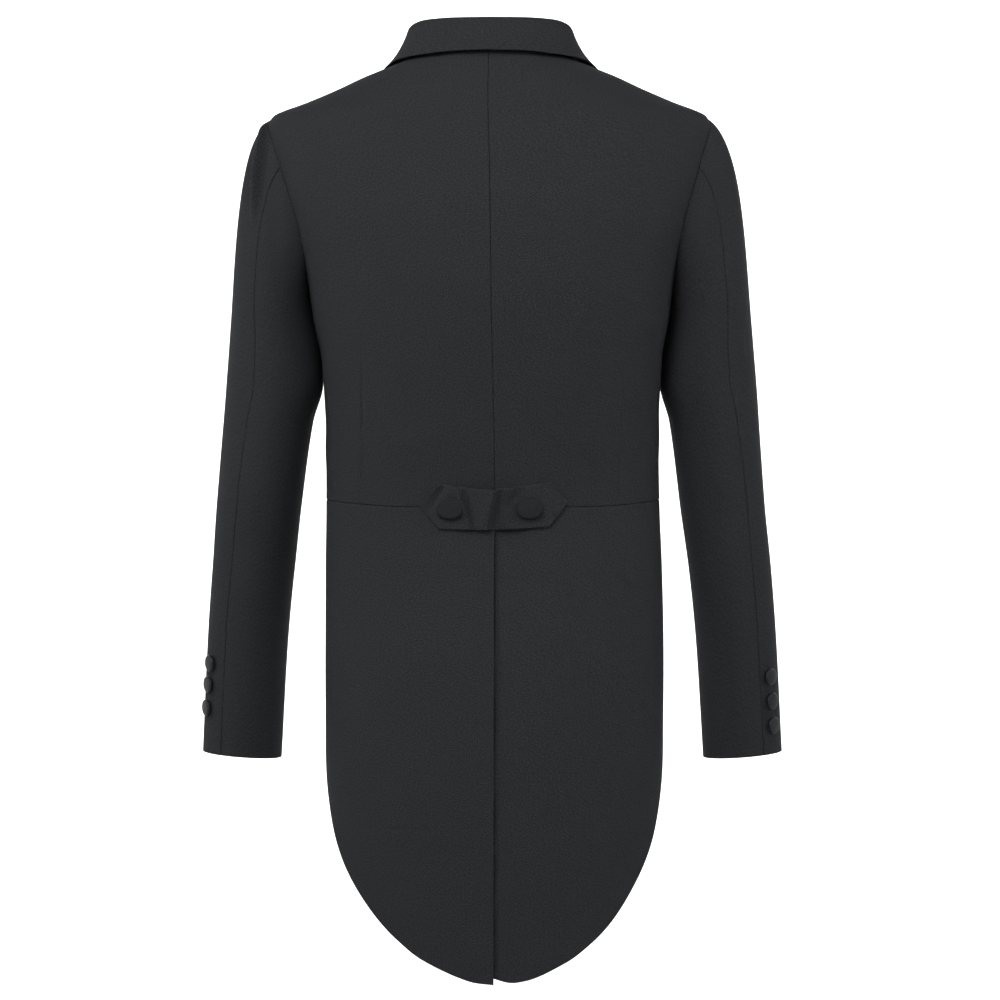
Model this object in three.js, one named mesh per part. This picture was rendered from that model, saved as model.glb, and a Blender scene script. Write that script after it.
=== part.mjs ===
// A man's black tailcoat, hollow and filled out as it is when worn.
// Millimetres, +Z up. The front of the coat faces -Y and its own left side is +X.
// The origin lies midway between the shoulders, level with the foot of the collar at the side of the neck.
//
// Every panel is a wall of cloth. Its seen side is worked out from the coat's own sizes, and the wall is
// laid inward from it. Angles go round the body from the centre back, 90 degrees being the side.

import * as THREE from 'three';

// Cloth
const CLOTH = 2.0;              // wall of wool, canvas and lining pressed together
const SEAM = 0.3;               // gap left between two panels at a seam
const WAIST_SEAM = 0.6;
const LAY = CLOTH + 0.8;        // how far out the seen side of a piece lies when it rests on a panel

// Heights
const SHOULDER_TIP_Z = -48;
const NECK_SIDE_Z = 13;
const NECK_BACK_RISE = 5;
const NECK_FRONT_Z = 0;
const WAIST_BACK_Z = -437;
const WAIST_SIDE_RISE = 8;
const FRONT_POINT_Z = -478;
const FRONT_POINT_ANGLE = 171;  // the lowest point of a front, short of the middle; the edge rises past it
const FRONT_POINT_RISE = 0.03;
const BUTTON_Z = -395;

// The body of the coat: half its width, its depth behind and in front of the side line, and how square
// each half of the section is (2 is an ellipse).
const BODY = [
  { z: 50, half: 76, back: 44, front: 44, backSquare: 2.1, frontSquare: 2.1 },
  { z: 20, half: 77, back: 47, front: 45, backSquare: 2.1, frontSquare: 2.1 },
  { z: 13, half: 79, back: 50, front: 47, backSquare: 2.1, frontSquare: 2.1 },
  { z: 0, half: 106.5, back: 58, front: 55, backSquare: 2.1, frontSquare: 2.1 },
  { z: -8, half: 126.5, back: 63, front: 60, backSquare: 2.1, frontSquare: 2.1 },
  { z: -20, half: 152, back: 69, front: 65, backSquare: 2.1, frontSquare: 2.1 },
  { z: -34, half: 184, back: 76, front: 72, backSquare: 2.2, frontSquare: 2.2 },
  { z: -48, half: 217, back: 82, front: 78, backSquare: 2.3, frontSquare: 2.25 },
  { z: -64, half: 224.5, back: 88, front: 84, backSquare: 2.4, frontSquare: 2.35 },
  { z: -103, half: 217, back: 99, front: 99, backSquare: 2.7, frontSquare: 2.6 },
  { z: -160, half: 196, back: 109, front: 114, backSquare: 3.0, frontSquare: 2.8 },
  { z: -212, half: 182.5, back: 111, front: 117, backSquare: 2.8, frontSquare: 2.7 },
  { z: -250, half: 177.5, back: 108, front: 115, backSquare: 2.7, frontSquare: 2.6 },
  { z: -290, half: 170.5, back: 102, front: 110, backSquare: 2.6, frontSquare: 2.55 },
  { z: -370, half: 166, back: 88, front: 101, backSquare: 2.4, frontSquare: 2.4 },
  { z: -434, half: 166.5, back: 79, front: 98, backSquare: 2.35, frontSquare: 2.35 },
  { z: -500, half: 168, back: 86, front: 100, backSquare: 2.3, frontSquare: 2.3 },
  { z: -600, half: 168.5, back: 102, front: 102, backSquare: 2.35, frontSquare: 2.3 },
  { z: -720, half: 168.5, back: 109, front: 104, backSquare: 2.4, frontSquare: 2.3 },
  { z: -910, half: 168.5, back: 111, front: 106, backSquare: 2.4, frontSquare: 2.3 },
];

// How the coat hangs on its wearer: turned about the upright, and shifted across
const WORN = [
  { z: 60, turn: 1.2, shift: 1.5 },
  { z: -20, turn: 1.4, shift: 2 },
  { z: -60, turn: 0.4, shift: 2.6 },
  { z: -110, turn: 0.1, shift: 1.8 },
  { z: -200, turn: -0.1, shift: 1.2 },
  { z: -270, turn: -0.4, shift: 0.5 },
  { z: -430, turn: -1.6, shift: -1 },
  { z: -500, turn: -0.3, shift: -1.8 },
  { z: -650, turn: 0.1, shift: -2.4 },
  { z: -920, turn: 0.4, shift: -2.5 },
];
const SLEEVES_CLEAR = { x: 172, z: -330 };   // further out and lower than this, only the turn counts

// The armhole, an egg seen from the side. Its own angle runs from the shoulder tip by the back to the underarm.
const ARMHOLE = { midZ: -130, halfHeight: 82, halfWidth: 51, fullBelow: 0.12 };
const ARM_STEP = 10;            // degrees between points round the armhole and the sleeve
const SIDE_BODY_BACK = 140;     // where the side body meets the back panel, round the armhole
const SIDE_BODY_FRONT = 220;    // where it meets the front panel
const SIDE_BACK_WAIST = 80;     // angle round the body of the same two seams at the waist
const SIDE_FRONT_WAIST = 107;
const BACK_COLUMNS = 11;
const TAIL_ROWS = 12;

// The sleeve below the underarm: its outer and inner edge across, its back and front edge, and how far
// the ring tips down towards the body and towards the back.
const SLEEVE = [
  { z: -250, outer: 261.5, inner: 178.2, back: 44, front: -82, tipIn: 0, tipBack: 0 },
  { z: -290, outer: 264.8, inner: 171.4, back: 40, front: -84, tipIn: 0.3, tipBack: 0 },
  { z: -312, outer: 266.6, inner: 170.4, back: 38, front: -84, tipIn: 0.5, tipBack: 0 },
  { z: -350, outer: 269.5, inner: 179.3, back: 34, front: -84, tipIn: 0.8, tipBack: 0.2 },
  { z: -430, outer: 276, inner: 190.5, back: 25, front: -85, tipIn: 1.5, tipBack: 0.4 },
  { z: -560, outer: 287.4, inner: 206, back: 3, front: -95, tipIn: 2.4, tipBack: 0.5 },
  { z: -689, outer: 295.5, inner: 215.2, back: -23, front: -113, tipIn: 3.3, tipBack: 0.5 },
];
const SLEEVE_ROWS = [-250, -281, -312, -350, -395, -440, -500, -560, -625, -689];
const HINDARM_SEAM = 70;        // round the sleeve from its outer edge by the back, at its head
const HINDARM_LOW = 62;         // and from the elbow down
const FOREARM_SEAM = 240;

// The hem and front edge of the left and of the right tail: the height at each angle round the body.
const TAIL_HEM = [
  { angle: 0, left: -898.6, right: -893 },
  { angle: 9, left: -896.7, right: -896.8 },
  { angle: 15, left: -893.3, right: -895.2 },
  { angle: 34, left: -874.6, right: -877.6 },
  { angle: 44, left: -856.3, right: -860.2 },
  { angle: 51.4, left: -838, right: -842 },
  { angle: 62.6, left: -801.3, right: -802 },
  { angle: 71.4, left: -764, right: -764 },
  { angle: 78, left: -726.4, right: -726.4 },
  { angle: 84.5, left: -688, right: -688 },
  { angle: 93, left: -625, right: -625 },
  { angle: 105, left: -530, right: -530 },
  { angle: 120, left: -430, right: -430 },
];
const TAIL_FRONT = TAIL_HEM.at(-1).angle;
const TAIL_CORNER = 66;         // the angle at which the hem turns into the front edge
const VENT_OVERLAP = 38;        // the right tail reaches this far under the left one
const VENT_STEP = CLOTH + 0.6;  // and lies this far inside it

// The front
const FRONT_LAP = 16;           // each front reaches this far past the middle
const LAP_STEP = 1.4;           // the left front lies this far out there, the right one as far in
const ROLL_TOP_X = 75;          // the roll line starts here at the neck and ends at the button
const LAPEL = {
  gorge: { x: 67.5, z: -30 }, notch: { x: 103, z: -60 }, peak: { x: 147, z: -47 }, belly: 9,
};
const LAPEL_FEET = {            // where the roll line and the outer edge of each lapel end
  left: { roll: { x: -15, z: -393 }, edge: { x: -12, z: -393 } },
  right: { roll: { x: 1.5, z: -322 }, edge: { x: 8.5, z: -352 } },
};

// The collar by stations from the centre back to its front end: the line of its roll, and the edge of
// the turned-down part by its angle, height and distance from the body.
const COLLAR = [
  { x: 0, y: 44, z: 42.5, angle: 0, edgeZ: 9, lift: 6 },
  { x: 33, y: 41.5, z: 42.5, angle: 38, edgeZ: 8, lift: 5.5 },
  { x: 63, y: 29, z: 42, angle: 55, edgeZ: 6.5, lift: 4.5 },
  { x: 77, y: 13, z: 38, angle: 68, edgeZ: 6, lift: 3.6 },
  { x: 80.5, y: -3, z: 31, angle: 81, edgeZ: 5, lift: 3 },
  { x: 81, y: -17, z: 22, angle: 92, edgeZ: 2.5, lift: 3 },
  { x: 79, y: -30, z: 12, angle: 103, edgeZ: -6, lift: 3 },
  { x: 75, y: -41, z: 1, angle: 110.5, edgeZ: -20, lift: LAY },
  { x: 71.5, y: -54, z: -14, angle: 114.5, edgeZ: -30, lift: LAY },
  { x: 68.3, y: -64, z: -28, angle: 116.4, edgeZ: -38, lift: LAY },
];
const STAND_LAST = 6;           // from this station on the collar has no stand and comes down to the chest
const CHEST_FIRST = 7.6;        // and from this one it lies there

// The half belt over the back waist, with two cloth-covered buttons
const TAB = {
  middleX: 1.2, midZ: -434.5, halfLength: 71.8, pointed: 18, halfWidth: 22.7, sag: 7, tilt: -0.02,
};
const TAB_FOLDS = [
  { x: 5, lean: -0.30, height: 6.5, width: 6 },
  { x: -6, lean: -0.35, height: -1.2, width: 6 },
  { x: 24, lean: 0.45, height: 3.2, width: 5 },
  { x: -21, lean: 0.30, height: 2.2, width: 7 },
];
const TAB_BUTTONS = [{ x: 44, z: -439 }, { x: -32.8, z: -439 }];
const TAB_BUTTON = { radius: 13.3, upright: 9.8, height: 6.5 };
const CUFF_BUTTON = { radius: 8.5, upright: 8.5, height: 5 };
const FRONT_BUTTON = { radius: 10, upright: 10, height: 6 };
const CUFF_BUTTONS = [
  { name: 'left_upper', z: -596, angle: 36 },
  { name: 'left_middle', z: -618, angle: 34 },
  { name: 'left_lower', z: -642, angle: 32 },
  { name: 'right_upper', z: -609, angle: 46 },
  { name: 'right_middle', z: -634, angle: 45 },
  { name: 'right_lower', z: -659, angle: 44 },
];

// Colours
const CLOTH_BLACK = new THREE.MeshStandardMaterial({ color: 0x232427, roughness: 0.85, metalness: 0 });
const BUTTON_BLACK = new THREE.MeshStandardMaterial({ color: 0x2b2c30, roughness: 0.5, metalness: 0 });

const UP = new THREE.Vector3(0, 0, 1);
const radians = (degrees) => degrees * Math.PI / 180;
const degrees = (r) => r * 180 / Math.PI;
const mix = (a, b, t) => a + (b - a) * t;
const clamp01 = (t) => Math.min(1, Math.max(0, t));
const ease = (t) => clamp01(t) ** 2 * (3 - 2 * clamp01(t));
const steps = (count, from = 0, to = 1) =>
  Array.from({ length: count + 1 }, (_, i) => mix(from, to, i / count));

// A smooth curve through one column of a table, over another, that never overshoots between rows.
function through(table, over, column) {
  const rows = [...table].sort((a, b) => a[over] - b[over]);
  const x = rows.map((row) => row[over]);
  const y = rows.map((row) => row[column]);
  const slope = x.slice(1).map((_, i) => (y[i + 1] - y[i]) / (x[i + 1] - x[i]));
  const tangent = x.map((_, i) => {
    if (i === 0) return slope[0];
    if (i === x.length - 1) return slope[i - 1];
    const [a, b] = [slope[i - 1], slope[i]];
    return a * b <= 0 ? 0 : (2 * a * b) / (a + b);
  });
  return (at) => {
    let i = 0;
    while (i < x.length - 2 && at > x[i + 1]) i += 1;
    const h = x[i + 1] - x[i];
    const t = (at - x[i]) / h;
    if (t < 0) return y[0] + tangent[0] * (at - x[0]);
    if (t > 1) return y[i + 1] + tangent[i + 1] * (at - x[i + 1]);
    const a = 1 + 2 * t;
    return (1 - t) ** 2 * (a * y[i] + t * h * tangent[i])
      + t ** 2 * ((3 - 2 * t) * y[i + 1] - (1 - t) * h * tangent[i + 1]);
  };
}

const body = Object.fromEntries(
  ['half', 'back', 'front', 'backSquare', 'frontSquare'].map((c) => [c, through(BODY, 'z', c)]),
);

// The point of the body's seen side at an angle and height.
function onBody(angle, z) {
  const [sin, cos] = [Math.sin(radians(angle)), Math.cos(radians(angle))];
  const side = cos >= 0 ? 'back' : 'front';
  const square = body[`${side}Square`](z);
  const reach = (Math.abs(sin) / body.half(z)) ** square + (Math.abs(cos) / body[side](z)) ** square;
  const radius = reach ** (-1 / square);
  return new THREE.Vector3(radius * sin, radius * cos, z);
}

// The angle of the point of the body that lies at a given depth y, on the left side.
function angleAtDepth(y, z) {
  const side = y >= 0 ? 'back' : 'front';
  const square = body[`${side}Square`](z);
  const x = body.half(z) * (1 - Math.abs(y / body[side](z)) ** square) ** (1 / square);
  return degrees(Math.atan2(x, y));
}

// The angle of the point of the back or the front that lies x across from the middle.
function angleAcross(x, z, side) {
  const square = body[`${side}Square`](z);
  const y = body[side](z) * (1 - Math.abs(x / body.half(z)) ** square) ** (1 / square);
  const angle = degrees(Math.atan2(x, side === 'back' ? y : -y));
  return side === 'front' && angle < 0 ? angle + 360 : angle;
}

// Gives any sheet of points an out distance, measured along the normal of its seen side.
function withOut(sheet, across = 1e-3, down = 1e-3) {
  return (u, v, out) => {
    const du = sheet(u + across, v).sub(sheet(u - across, v));
    const dv = sheet(u, v + down).sub(sheet(u, v - down));
    return sheet(u, v).addScaledVector(du.cross(dv).normalize(), out);
  };
}
const bodyOut = withOut((angle, z) => onBody(angle, -z), 0.01, 0.01);
const offBody = (angle, z, out) => bodyOut(angle, -z, out);

// A wall of cloth: sheet(u, v, out) at out 0 is its seen side and at -CLOTH the other, closed all round.
function wall(columns, rows, sheet) {
  const [across, down] = [columns.length, rows.length];
  const points = [];
  for (const out of [0, -CLOTH]) {
    for (const v of rows) {
      for (const u of columns) points.push(...sheet(u, v, out).toArray());
    }
  }
  const at = (i, j, layer) => layer * across * down + j * across + i;
  const faces = [];
  const quad = (a, b, c, d) => faces.push(a, b, c, a, c, d);
  for (let j = 0; j < down - 1; j += 1) {
    for (let i = 0; i < across - 1; i += 1) {
      quad(at(i, j, 0), at(i + 1, j, 0), at(i + 1, j + 1, 0), at(i, j + 1, 0));
      quad(at(i, j, 1), at(i, j + 1, 1), at(i + 1, j + 1, 1), at(i + 1, j, 1));
    }
  }
  for (let i = 0; i < across - 1; i += 1) {
    quad(at(i, 0, 1), at(i + 1, 0, 1), at(i + 1, 0, 0), at(i, 0, 0));
    quad(at(i, down - 1, 0), at(i + 1, down - 1, 0), at(i + 1, down - 1, 1), at(i, down - 1, 1));
  }
  for (let j = 0; j < down - 1; j += 1) {
    quad(at(0, j, 0), at(0, j + 1, 0), at(0, j + 1, 1), at(0, j, 1));
    quad(at(across - 1, j, 1), at(across - 1, j + 1, 1), at(across - 1, j + 1, 0), at(across - 1, j, 0));
  }
  const geometry = new THREE.BufferGeometry();
  geometry.setAttribute('position', new THREE.Float32BufferAttribute(points, 3));
  geometry.setIndex(faces);
  return geometry;
}

// How the worn coat turns and shifts a little as it goes down.
const worn = Object.fromEntries(['turn', 'shift'].map((c) => [c, through(WORN, 'z', c)]));
function asWorn(geometry) {
  const position = geometry.attributes.position;
  const point = new THREE.Vector3();
  for (let i = 0; i < position.count; i += 1) {
    point.fromBufferAttribute(position, i);
    point.applyAxisAngle(UP, -radians(worn.turn(point.z)));
    const onSleeve = point.z < SLEEVES_CLEAR.z && Math.abs(point.x) > SLEEVES_CLEAR.x;
    position.setXYZ(i, point.x + (onSleeve ? 0 : worn.shift(point.z)), point.y, point.z);
  }
  return geometry;
}

// The same wall on the right side of the coat.
function mirrored(geometry) {
  const position = geometry.attributes.position;
  for (let i = 0; i < position.count; i += 1) position.setX(i, -position.getX(i));
  const index = geometry.getIndex();
  for (let i = 0; i < index.count; i += 3) {
    const first = index.getX(i);
    index.setX(i, index.getX(i + 1));
    index.setX(i + 1, first);
  }
  return geometry;
}

const coat = new THREE.Group();
function add(name, geometry, material = CLOTH_BLACK) {
  const mesh = new THREE.Mesh(asWorn(geometry), material);
  mesh.name = name;
  coat.add(mesh);
}

// Moves a left-hand sheet half a seam away from the middle of the coat.
const offMiddle = (sheet) => (u, v, out) => {
  const point = sheet(u, v, out);
  point.x += SEAM / 2;
  return point;
};
const HALF_SEAM = degrees(SEAM / 2 / 140);     // as an angle round the body

// Seams

const waistZ = (angle) => WAIST_BACK_Z + WAIST_SIDE_RISE * ease((angle - 50) / 45);
const armhole = (around) => {
  const [sin, cos] = [Math.sin(radians(around)), Math.cos(radians(around))];
  return {
    y: ARMHOLE.halfWidth * sin * (1 - ARMHOLE.fullBelow * cos),
    z: ARMHOLE.midZ + ARMHOLE.halfHeight * cos,
  };
};
const armholeAngle = (around) => {
  const { y, z } = armhole(around);
  return angleAtDepth(y, z);
};
const sideSeam = (around, waistAngle) => (z) => {
  const top = armhole(around).z;
  return mix(armholeAngle(around), waistAngle, ease((top - z) / (top - WAIST_BACK_Z)));
};
const sideBackSeam = sideSeam(SIDE_BODY_BACK, SIDE_BACK_WAIST);
const sideFrontSeam = sideSeam(SIDE_BODY_FRONT, SIDE_FRONT_WAIST);
const seamTopZ = armhole(SIDE_BODY_BACK).z;

// The free edge of a front: down the roll line to the button, then straight down past the middle.
const rollX = (z) => mix(ROLL_TOP_X, -FRONT_LAP, clamp01((NECK_FRONT_Z - z) / (NECK_FRONT_Z - BUTTON_Z)));
const frontEdge = (z) => angleAcross(rollX(z), z, 'front');
const frontHemZ = (angle) => {
  const drop = clamp01((angle - TAIL_FRONT) / (FRONT_POINT_ANGLE - TAIL_FRONT));
  const past = Math.max(0, angle - FRONT_POINT_ANGLE);
  return mix(waistZ(angle), FRONT_POINT_Z, drop) + FRONT_POINT_RISE * past ** 2;
};
const lapOut = (x) => LAP_STEP * (1 - ease((Math.abs(x) - 14) / 50));

// The neckline, highest behind
const neckBackZ = (angle) => NECK_SIDE_Z + NECK_BACK_RISE * Math.cos(radians(angle)) ** 2;
const neckFrontZ = (angle) => mix(NECK_SIDE_Z, NECK_FRONT_Z, (angle - 90) / (frontEdge(NECK_FRONT_Z) - 90));

// A back or front panel has three zones of rows: v runs 0 to 1 down the shoulder, 1 to 2 down the armhole
// and 2 to 3 below it.
const panelRows = (shoulder, below) => [
  ...steps(shoulder),
  ...steps(SIDE_BODY_BACK / ARM_STEP, 1, 2).slice(1),
  ...steps(below, 2, 3).slice(1),
];
function panelHeight(v, neckZ, hemZ) {
  if (v <= 1) return mix(neckZ, SHOULDER_TIP_Z, v);
  if (v <= 2) return armhole((v - 1) * SIDE_BODY_BACK).z;
  return mix(seamTopZ, hemZ, v - 2);
}

// The back: centre back seam to the shoulder, armhole and side-back seams
function backPanel() {
  const heightAt = (u, v) => panelHeight(v, neckBackZ(90 * u), waistZ(SIDE_BACK_WAIST * u));
  const sheet = (u, v, out) => {
    let edge = v <= 1 ? 90 : sideBackSeam(heightAt(1, v));
    if (v > 1 && v < 2) edge = armholeAngle((v - 1) * SIDE_BODY_BACK);
    return offBody(mix(0, edge - HALF_SEAM, u), heightAt(u, v), out);
  };
  return wall(steps(BACK_COLUMNS), panelRows(5, 8), offMiddle(sheet));
}

// The side body: under the armhole, between the two side seams
function sideBody() {
  const topAngle = (u) => armholeAngle(mix(SIDE_BODY_BACK, SIDE_BODY_FRONT, u));
  const sheet = (u, v, out) => {
    const bottomZ = waistZ(mix(SIDE_BACK_WAIST, SIDE_FRONT_WAIST, u));
    const seamZ = mix(seamTopZ, bottomZ, v);
    const z = mix(armhole(mix(SIDE_BODY_BACK, SIDE_BODY_FRONT, u)).z, bottomZ, v);
    const between = mix(sideBackSeam(seamZ), sideFrontSeam(seamZ), u);
    const bend = topAngle(u) - mix(topAngle(0), topAngle(1), u);
    const inset = mix(HALF_SEAM, -HALF_SEAM, u);
    return offBody(between + bend * (1 - ease(v * 1.6)) + inset, z, out);
  };
  return wall(steps((SIDE_BODY_FRONT - SIDE_BODY_BACK) / ARM_STEP), steps(8), offMiddle(sheet));
}

// A front: side seam, armhole and shoulder seam to the roll line and the front edge. It laps by lap at the
// middle, positive outward.
function frontPanel(lap) {
  const endAngle = frontEdge(FRONT_POINT_Z);
  const neckAngle = frontEdge(NECK_FRONT_Z);
  const heightAt = (u, v) => panelHeight(
    v, neckFrontZ(mix(90, neckAngle, u)), frontHemZ(mix(SIDE_FRONT_WAIST, endAngle, u)),
  );
  const sheet = (u, v, out) => {
    let near = v <= 1 ? 90 : sideFrontSeam(heightAt(0, v));
    if (v > 1 && v < 2) near = armholeAngle(360 - (v - 1) * SIDE_BODY_BACK);
    const z = heightAt(u, v);
    const angle = mix(near + HALF_SEAM, frontEdge(heightAt(1, v)), u);
    return offBody(angle, z, out + lap * lapOut(onBody(angle, z).x));
  };
  const tailEnd = (TAIL_FRONT - SIDE_FRONT_WAIST) / (endAngle - SIDE_FRONT_WAIST);
  return wall([0, tailEnd / 2, ...steps(9, tailEnd, 1)], panelRows(5, 8), offMiddle(sheet));
}

// A patch of the body between four edges, given as [angle, z] at 0 to 1 along each.
function patch(top, bottom, start, end) {
  return (u, v) => [0, 1].map((k) => {
    const ruled = mix(top(u)[k], bottom(u)[k], v) + mix(start(v)[k], end(v)[k], u);
    const corners = mix(mix(top(0)[k], top(1)[k], u), mix(bottom(0)[k], bottom(1)[k], u), v);
    return ruled - corners;
  });
}

// A tail: from the vent round to its front edge, hanging from the waist seam
function tail(side, ventX, step) {
  const hemZ = through(TAIL_HEM, 'angle', side);
  const topZ = (angle) => waistZ(angle) - WAIST_SEAM;
  const start = (z) => degrees(Math.atan2(ventX, body.back(z)));
  const bottomZ = hemZ(0);
  const domain = patch(
    (u) => {
      const angle = mix(start(WAIST_BACK_Z), TAIL_FRONT, u);
      return [angle, topZ(Math.max(0, angle))];
    },
    (u) => {
      const angle = mix(start(bottomZ), TAIL_CORNER, u);
      return [angle, hemZ(angle)];
    },
    (v) => {
      const z = mix(topZ(0), hemZ(start(bottomZ)), v);
      return [start(z), z];
    },
    (v) => {
      const angle = mix(TAIL_FRONT, TAIL_CORNER, v ** 0.9);
      return [angle, hemZ(angle)];
    },
  );
  const sheet = (u, v, out) => {
    const [angle, z] = domain(u, v);
    const inside = step * (1 - ease((onBody(angle, z).x - 10) / 30));
    return offBody(angle, z, out - inside);
  };
  const waistAngles = [
    ...steps(BACK_COLUMNS, 0, SIDE_BACK_WAIST), ...steps(4, SIDE_BACK_WAIST, SIDE_FRONT_WAIST).slice(1),
    ...steps(2, SIDE_FRONT_WAIST, TAIL_FRONT).slice(1),
  ];
  const under = start(WAIST_BACK_Z);
  if (under < 0) waistAngles.unshift(under, under / 2);
  const columns = waistAngles.map((angle) => (angle - under) / (TAIL_FRONT - under));
  return wall(columns, steps(TAIL_ROWS), offMiddle(sheet));
}

// The sleeve. around runs as on the armhole; along is 0 at the armhole, 1 at the underarm ring, 2 at the cuff.
const sleeve = Object.fromEntries(
  ['outer', 'inner', 'back', 'front', 'tipIn', 'tipBack'].map((c) => [c, through(SLEEVE, 'z', c)]),
);
const CUFF_Z = SLEEVE.at(-1).z;
const RING_Z = SLEEVE[0].z;
function sleeveRing(around, z) {
  const [sin, cos] = [Math.sin(radians(around)), Math.cos(radians(around))];
  return new THREE.Vector3(
    mix(sleeve.inner(z), sleeve.outer(z), 0.5 + cos / 2),
    mix(sleeve.front(z), sleeve.back(z), 0.5 + sin / 2),
    z + sleeve.tipIn(z) * cos - sleeve.tipBack(z) * sin,
  );
}
function sleeveHead(around, t) {
  const [sin, cos] = [Math.sin(radians(around)), Math.cos(radians(around))];
  const { z } = armhole(around);
  const leave = new THREE.Vector3(0.63 + 0.28 * cos, 0.12 * sin, -0.67 + 0.26 * cos).normalize();
  const from = offBody(armholeAngle(around), z, 0.15 + 0.4 * ease((around > 180 ? 360 - around : around) / 140));
  from.addScaledVector(leave, SEAM + 0.1);
  const to = sleeveRing(around, RING_Z);
  const arrive = to.clone().sub(sleeveRing(around, RING_Z + 1));
  const span = from.distanceTo(to);
  const point = from.multiplyScalar((1 + 2 * t) * (1 - t) ** 2);
  point.addScaledVector(leave, t * (1 - t) ** 2 * span * 0.56);
  point.addScaledVector(to, t ** 2 * (3 - 2 * t));
  point.addScaledVector(arrive, -(t ** 2) * (1 - t) * span * 1.0);
  return point;
}
const onSleeve = (around, along) => (along <= 1
  ? sleeveHead(around, along)
  : sleeveRing(around, mix(RING_Z, CUFF_Z, along - 1)));
const sleeveOut = withOut((u, v) => onSleeve(-u, v), 0.05, 1e-4);
const offSleeve = (around, along, out) => sleeveOut(-around, along, out);

function atHindarm(angle, along) {
  const near = HINDARM_SEAM - ARM_STEP, far = HINDARM_SEAM + ARM_STEP;
  const seam = mix(HINDARM_SEAM, HINDARM_LOW, ease((along - 1) / 0.45));
  if (angle <= near || angle >= far) return angle;
  return angle < HINDARM_SEAM ? mix(near, seam, (angle - near) / ARM_STEP) : mix(seam, far, (angle - HINDARM_SEAM) / ARM_STEP);
}

function sleevePanel(from, to) {
  const columns = steps(Math.abs(to - from) / ARM_STEP, from, to);
  const gap = 0.2;
  columns[0] -= gap;
  columns[columns.length - 1] += gap;
  const head = [0, 0.06, 0.15, 0.28, 0.45, 0.7];
  const arm = SLEEVE_ROWS.map((z) => 1 + (z - RING_Z) / (CUFF_Z - RING_Z));
  const onPanel = offMiddle(offSleeve);
  return wall(columns, [...head, ...arm], (angle, along, out) => onPanel(atHindarm(angle, along), along, out));
}

// The lapel: turned back over the front from the roll line, with a peak at the top
function lapel(lap, foot) {
  const { gorge, notch, peak, belly } = LAPEL;
  const line = (a, b, t) => [mix(a.x, b.x, t), mix(a.z, b.z, t)];
  const top = (u) => (u < 0.45 ? line(gorge, notch, u / 0.45) : line(notch, peak, (u - 0.45) / 0.55));
  const outer = (v) => {
    const [x, z] = line(peak, foot.edge, v);
    return [x + belly * Math.sin(Math.PI * v), z];
  };
  const domain = patch(
    (u) => top(u),
    (u) => line(foot.roll, foot.edge, u),
    (v) => [rollX(mix(gorge.z, foot.roll.z, v)) + 0.5, mix(gorge.z, foot.roll.z, v)],
    outer,
  );
  const sheet = (u, v, out) => {
    const [x, z] = domain(u, v);
    const roll = 1.6 * Math.sin(Math.PI * Math.min(1, u * 1.2)) * (1 - v);
    return offBody(angleAcross(x, z, 'front'), z, out + LAY + roll + lap * lapOut(x));
  };
  return wall(steps(9), steps(18), offMiddle((u, v, out) => sheet(1 - u, v, out)));
}

// The collar, both halves in one. station runs from -9 at the right front end by 0 at the centre back to 9.
const stations = COLLAR.map((row, station) => ({ ...row, station }));
const collar = Object.fromEntries(
  ['x', 'y', 'z', 'angle', 'edgeZ', 'lift'].map((c) => [c, through(stations, 'station', c)]),
);
const LAST = stations.length - 1;
const toSide = (station, point) => {
  if (station < 0) point.x = -point.x;
  return point;
};
const rollPoint = (s) => new THREE.Vector3(collar.x(s), collar.y(s), collar.z(s));

// The stand: from the neckline up to the roll, its seen side towards the neck
function collarStand() {
  const sheet = (u, v) => {
    const station = -u;
    const s = Math.abs(station);
    const roll = rollPoint(s);
    const angle = degrees(Math.atan2(roll.x, roll.y));
    const foot = onBody(angle, angle <= 90 ? neckBackZ(angle) : neckFrontZ(angle));
    foot.z += 2.5 * SEAM;
    roll.z -= 1.6 + 2 * ease((s - 3) / 2);
    const inward = new THREE.Vector3(roll.x, roll.y, 0).normalize().multiplyScalar(CLOTH);
    return toSide(station, foot.lerp(roll, 1 - v).sub(inward));
  };
  return wall(steps(26, -STAND_LAST, STAND_LAST), steps(2), withOut(sheet));
}

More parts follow.
